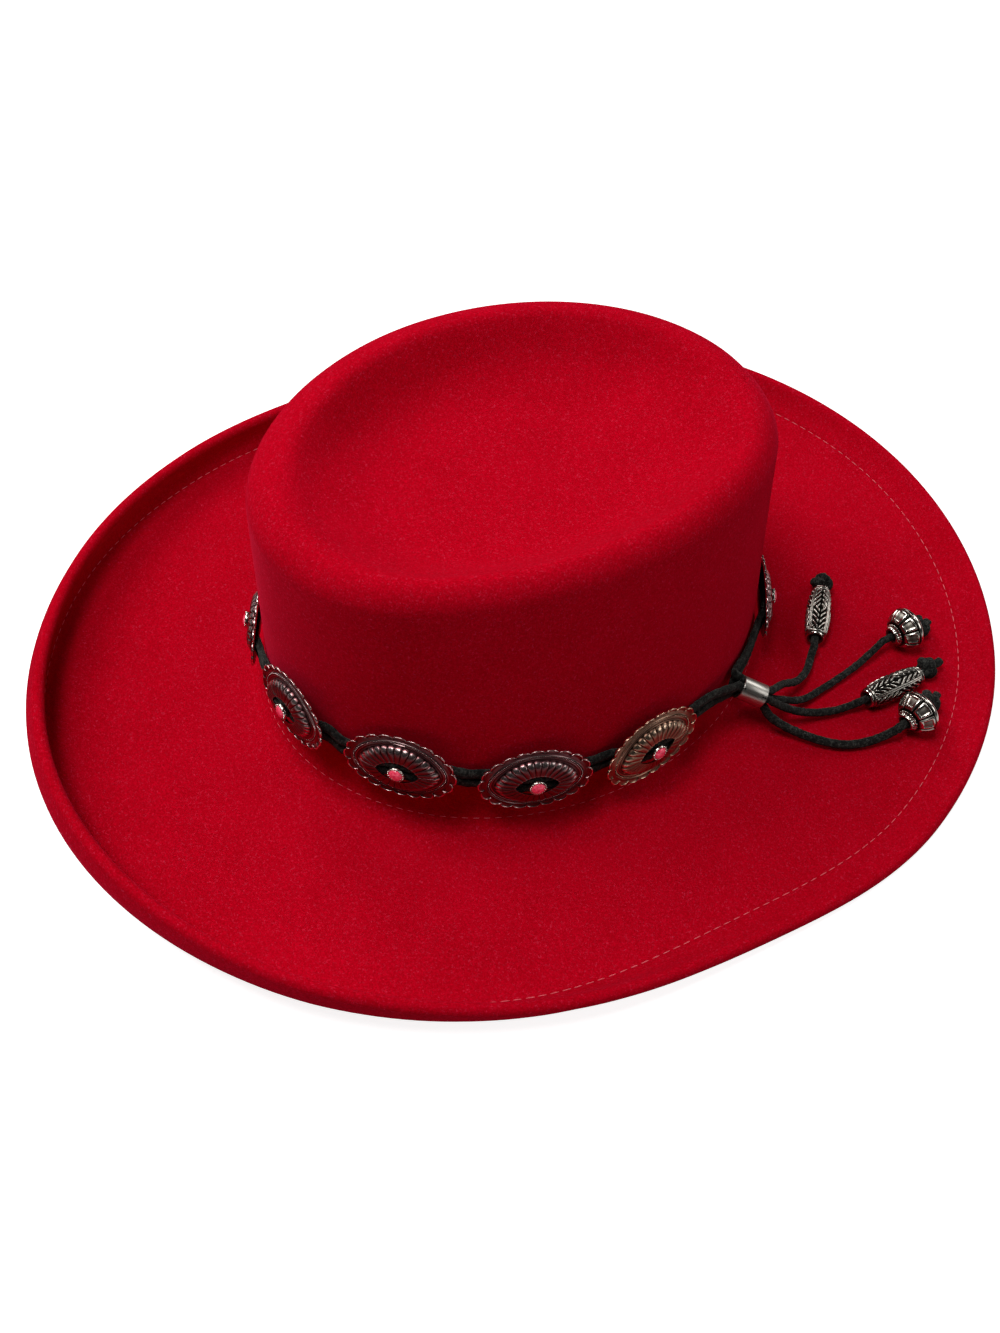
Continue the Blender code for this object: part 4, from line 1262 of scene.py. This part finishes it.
# One closed section of the felt, from the middle of the dish over the outside and back inside.
def feltSection(angle):
    thick = crown["felt"]
    curve = atAngle(crown["shoulders"], angle)
    shoulder = crown["height"] - curve
    edgeLength, edgeWidth = crownOval(shoulder)
    steep = ease(cos(radians(angle - dish["steepMiddle"])), 0.0, dish["steepEnd"])

    def dishPoint(share):
        sunk = alongPairs(dish["pairs"], share, flat=True)
        sunk += (alongPairs(dish["steep"], share, flat=True) - sunk) * steep
        height = crown["height"] - crown["dish"] * sunk
        edge = oval(angle, (edgeLength - 2 * curve) * share, (edgeWidth - 2 * curve) * share)
        edge += leanIn(angle, height, share)
        return atHeight(edge, height)

    def shoulderPoint(turn, depth):
        radius = curve - depth
        inset = curve - radius * cos(radians(turn))
        height = shoulder + radius * sin(radians(turn))
        edge = oval(angle, edgeLength - 2 * inset, edgeWidth - 2 * inset) + leanIn(angle, height)
        return atHeight(edge, height)

    def wallPoint(height, out):
        return crownPoint(angle, height, out) + leanIn(angle, height)

    def footPoint(turn, depth):
        across = cos(radians(turn))
        down = sin(radians(turn))
        point = crownPoint(angle, crown["footUp"] * (1 - down), crown["footOut"] * (1 - across))
        inner = Vector((across / crown["footOut"], down / crown["footUp"])).normalized() * depth
        return point - outward(angle) * inner.x - Vector((0, 0, inner.y))

    steps = feltSteps
    outside = [dishPoint(step / steps["dish"]) for step in range(steps["dish"])]
    outside += [shoulderPoint(turn, 0) for turn in reversed(quarter(steps["shoulder"]))]
    outside += [wallPoint(height, 0) for height in stepsBetween(shoulder, crown["footUp"], steps["wall"])]
    outside += [footPoint(turn, 0) for turn in quarter(steps["foot"])]
    line = brimTop(angle)
    span = sum(hypot(b[0] - a[0], b[1] - a[1]) for a, b in zip(line, line[1:]))
    runs = edgeRuns + stepsBetween(edgeRuns[-1], span, steps["far"]) + [span]
    top = walkBack(line, runs)
    places = [(out, 0) for out in stepsBetween(crown["footOut"], brim["flat"], steps["flat"])]
    for run, (out, up, slope) in reversed(list(zip(runs, top))):
        sunk = brim["groove"] * ridge(run, brim["welt"], brim["grooveWidth"])
        places.append((out + sunk * sin(slope), up - sunk * cos(slope)))
    edgeOut, edgeUp, lip = line[-1]
    for step in range(1, steps["edge"]):
        swing = lip + pi / 2 - pi * step / steps["edge"]
        out = edgeOut + thick * (sin(lip) + cos(swing))
        places.append((out, max(edgeUp + thick * (sin(swing) - cos(lip)), -thick)))
    weltEnd = brim["welt"] - brim["inWelt"]
    weltPast = brim["welt"] + brim["pastWelt"]
    below = [underTop(place, 2 * thick) for run, place in zip(runs, top) if run < weltEnd]
    mark = walkBack(line, [brim["welt"]])[0]
    below += [underTop(mark, thick * share) for share in brim["weltStep"]]
    below += [underTop(place, thick) for run, place in zip(runs, top) if run > weltPast]
    under = stepsBetween(crown["footOut"], brim["flat"], steps["flatBelow"])
    below += [(out, -thick) for out in reversed(under)]
    inside = [footPoint(turn, thick) for turn in reversed(quarter(steps["footInside"]))]
    heights = stepsBetween(crown["footUp"], shoulder, steps["wallInside"])
    inside += [wallPoint(height, -thick) for height in heights]
    inside += [shoulderPoint(turn, thick) for turn in quarter(steps["shoulderInside"])]
    inside += [dishPoint(1 - step / steps["dishInside"]) - lift for step in range(1, steps["dishInside"] + 1)]
    return outside + [brimPoint(angle, out, up) for out, up in places + below] + inside


def makeFeltBody():
    columns = brim["columns"]
    sections = [feltSection(360 * column / columns) for column in range(columns)]
    body = shapeWeb(len(sections[0]), columns, lambda column, row: (sections[column][row], 0.0))
    print(f"felt body: {len(body.faces)} faces")
    finishPiece("felt_body_napped", body, [felt], ["felt_body"])


makeFeltBody()
print("felt body ready")


stitching = {
    "welt": {"length": 0.0032, "gap": 0.0011, "width": 0.00036},
    "crown": {"length": 0.0026, "gap": 0.0014, "width": 0.00024, "foot": 42, "proud": 0.00005},
    "samples": 1440, "seed": 7, "slip": 0.0002, "uneven": (0.90, 1.04),
}


def weltPoint(angle):
    out, up, slope = walkBack(brimTop(angle), [brim["welt"]])[0]
    sunk = brim["groove"] * brim["stitchDepth"]
    return brimPoint(angle, out + sunk * sin(slope), up - sunk * cos(slope))


def crownSeamPoint(angle):
    turn = radians(stitching["crown"]["foot"])
    out = crown["footOut"] * (1 - cos(turn)) + stitching["crown"]["proud"]
    return crownPoint(angle, crown["footUp"] * (1 - sin(turn)), out)


def makeStitches(name, pointAt, look):
    samples = [pointAt(360 * step / stitching["samples"]) for step in range(stitching["samples"] + 1)]
    lengths = runLengths(samples)
    count = round(lengths[-1] / (look["length"] + look["gap"]))
    pitch = lengths[-1] / count
    draw = random.Random(stitching["seed"])
    row = bmesh.new()

    def at(run):
        low, high = 0, len(lengths) - 1
        while high - low > 1:
            middle = (low + high) // 2
            if lengths[middle] <= run:
                low = middle
            else:
                high = middle
        share = (run - lengths[low]) / (lengths[low + 1] - lengths[low])
        return samples[low].lerp(samples[low + 1], share)

    for index in range(count):
        start = at(pitch * index + draw.uniform(0, stitching["slip"]))
        end = at(pitch * index + look["length"] * draw.uniform(*stitching["uneven"]))
        dash = bmesh.new()
        bmesh.ops.create_uvsphere(dash, u_segments=6, v_segments=6, radius=0.5)
        along = end - start
        bmesh.ops.scale(dash, vec=(look["width"], look["width"], along.length * 1.02), verts=dash.verts)
        place = along.to_track_quat("Z", "Y").to_matrix().to_4x4()
        place.translation = (start + end) / 2
        dash.transform(place)
        addShape(row, dash)
    finishPiece(name, row, [thread])


makeStitches("welt_stitches", weltPoint, stitching["welt"])
makeStitches("crown_seam_stitches", crownSeamPoint, stitching["crown"])
print("stitches ready")


# The floor and the world are bright to the camera alone, so that they stay white and light little.
studio = {
    "floor": (0.55, 0.55, 0.55, 1), "floorSize": 3.0, "floorDrop": 0.0003, "floorGlow": 0.08,
    "floorSeen": 0.80, "worldGlow": 0.02, "worldSeen": 0.95, "lightDistance": 1.6,
    "lights": [
        {"name": "top", "from": (0.0, -0.309, 0.951), "size": 0.6, "power": 13.4},
        {"name": "left", "from": (-0.455, -0.455, 0.766), "size": 0.7, "power": 10.5},
        {"name": "back_left", "from": (-0.819, 0.0, 0.574), "size": 0.7, "power": 8.0},
        {"name": "back", "from": (0.0, 0.819, 0.574), "size": 0.7, "power": 4.3},
        {"name": "right", "from": (0.579, 0.579, 0.574), "size": 0.7, "power": 2.6},
    ],
}


def seenGlow(tree, seen, glow):
    ray = addNode(tree, "LightPath").outputs["Is Camera Ray"]
    return addMath(tree, "MULTIPLY_ADD", ray, seen, glow)


def makeFloor():
    sheet = bmesh.new()
    bmesh.ops.create_grid(sheet, x_segments=4, y_segments=4, size=studio["floorSize"])
    sheet.transform(Matrix.Translation((0, 0, -studio["floorDrop"])))
    mesh = meshOf("studio_floor", sheet)
    made, tree, surface = newFinish("pale_floor", {
        "Base Color": studio["floor"], "Roughness": 0.9, "Specular IOR Level": 0.1,
        "Emission Color": (1, 1, 1, 1),
    })
    feed(tree, surface, {"Emission Strength": seenGlow(tree, studio["floorSeen"], studio["floorGlow"])})
    mesh.materials.append(made)
    floor = bpy.data.objects.new("studio_floor", mesh)
    scene.collection.objects.link(floor)


def makeLights():
    world = bpy.data.worlds.new("studio")
    world.use_nodes = True
    tree = world.node_tree
    feed(tree, tree.nodes["Background"], {
        "Color": (1, 1, 1, 1), "Strength": seenGlow(tree, studio["worldSeen"], studio["worldGlow"]),
    })
    scene.world = world
    for look in studio["lights"]:
        data = bpy.data.lights.new(look["name"] + "_light", "AREA")
        data.shape = "DISK"
        data.size = look["size"]
        data.energy = look["power"]
        lamp = bpy.data.objects.new(look["name"] + "_light", data)
        scene.collection.objects.link(lamp)
        towards = Vector(look["from"]).normalized()
        turned = towards.to_track_quat("Z", "Y").to_matrix().to_4x4()
        lamp.matrix_world = Matrix.Translation(towards * studio["lightDistance"]) @ turned


makeFloor()
makeLights()
scene.view_settings.view_transform = "Standard"
print("floor and lights ready")
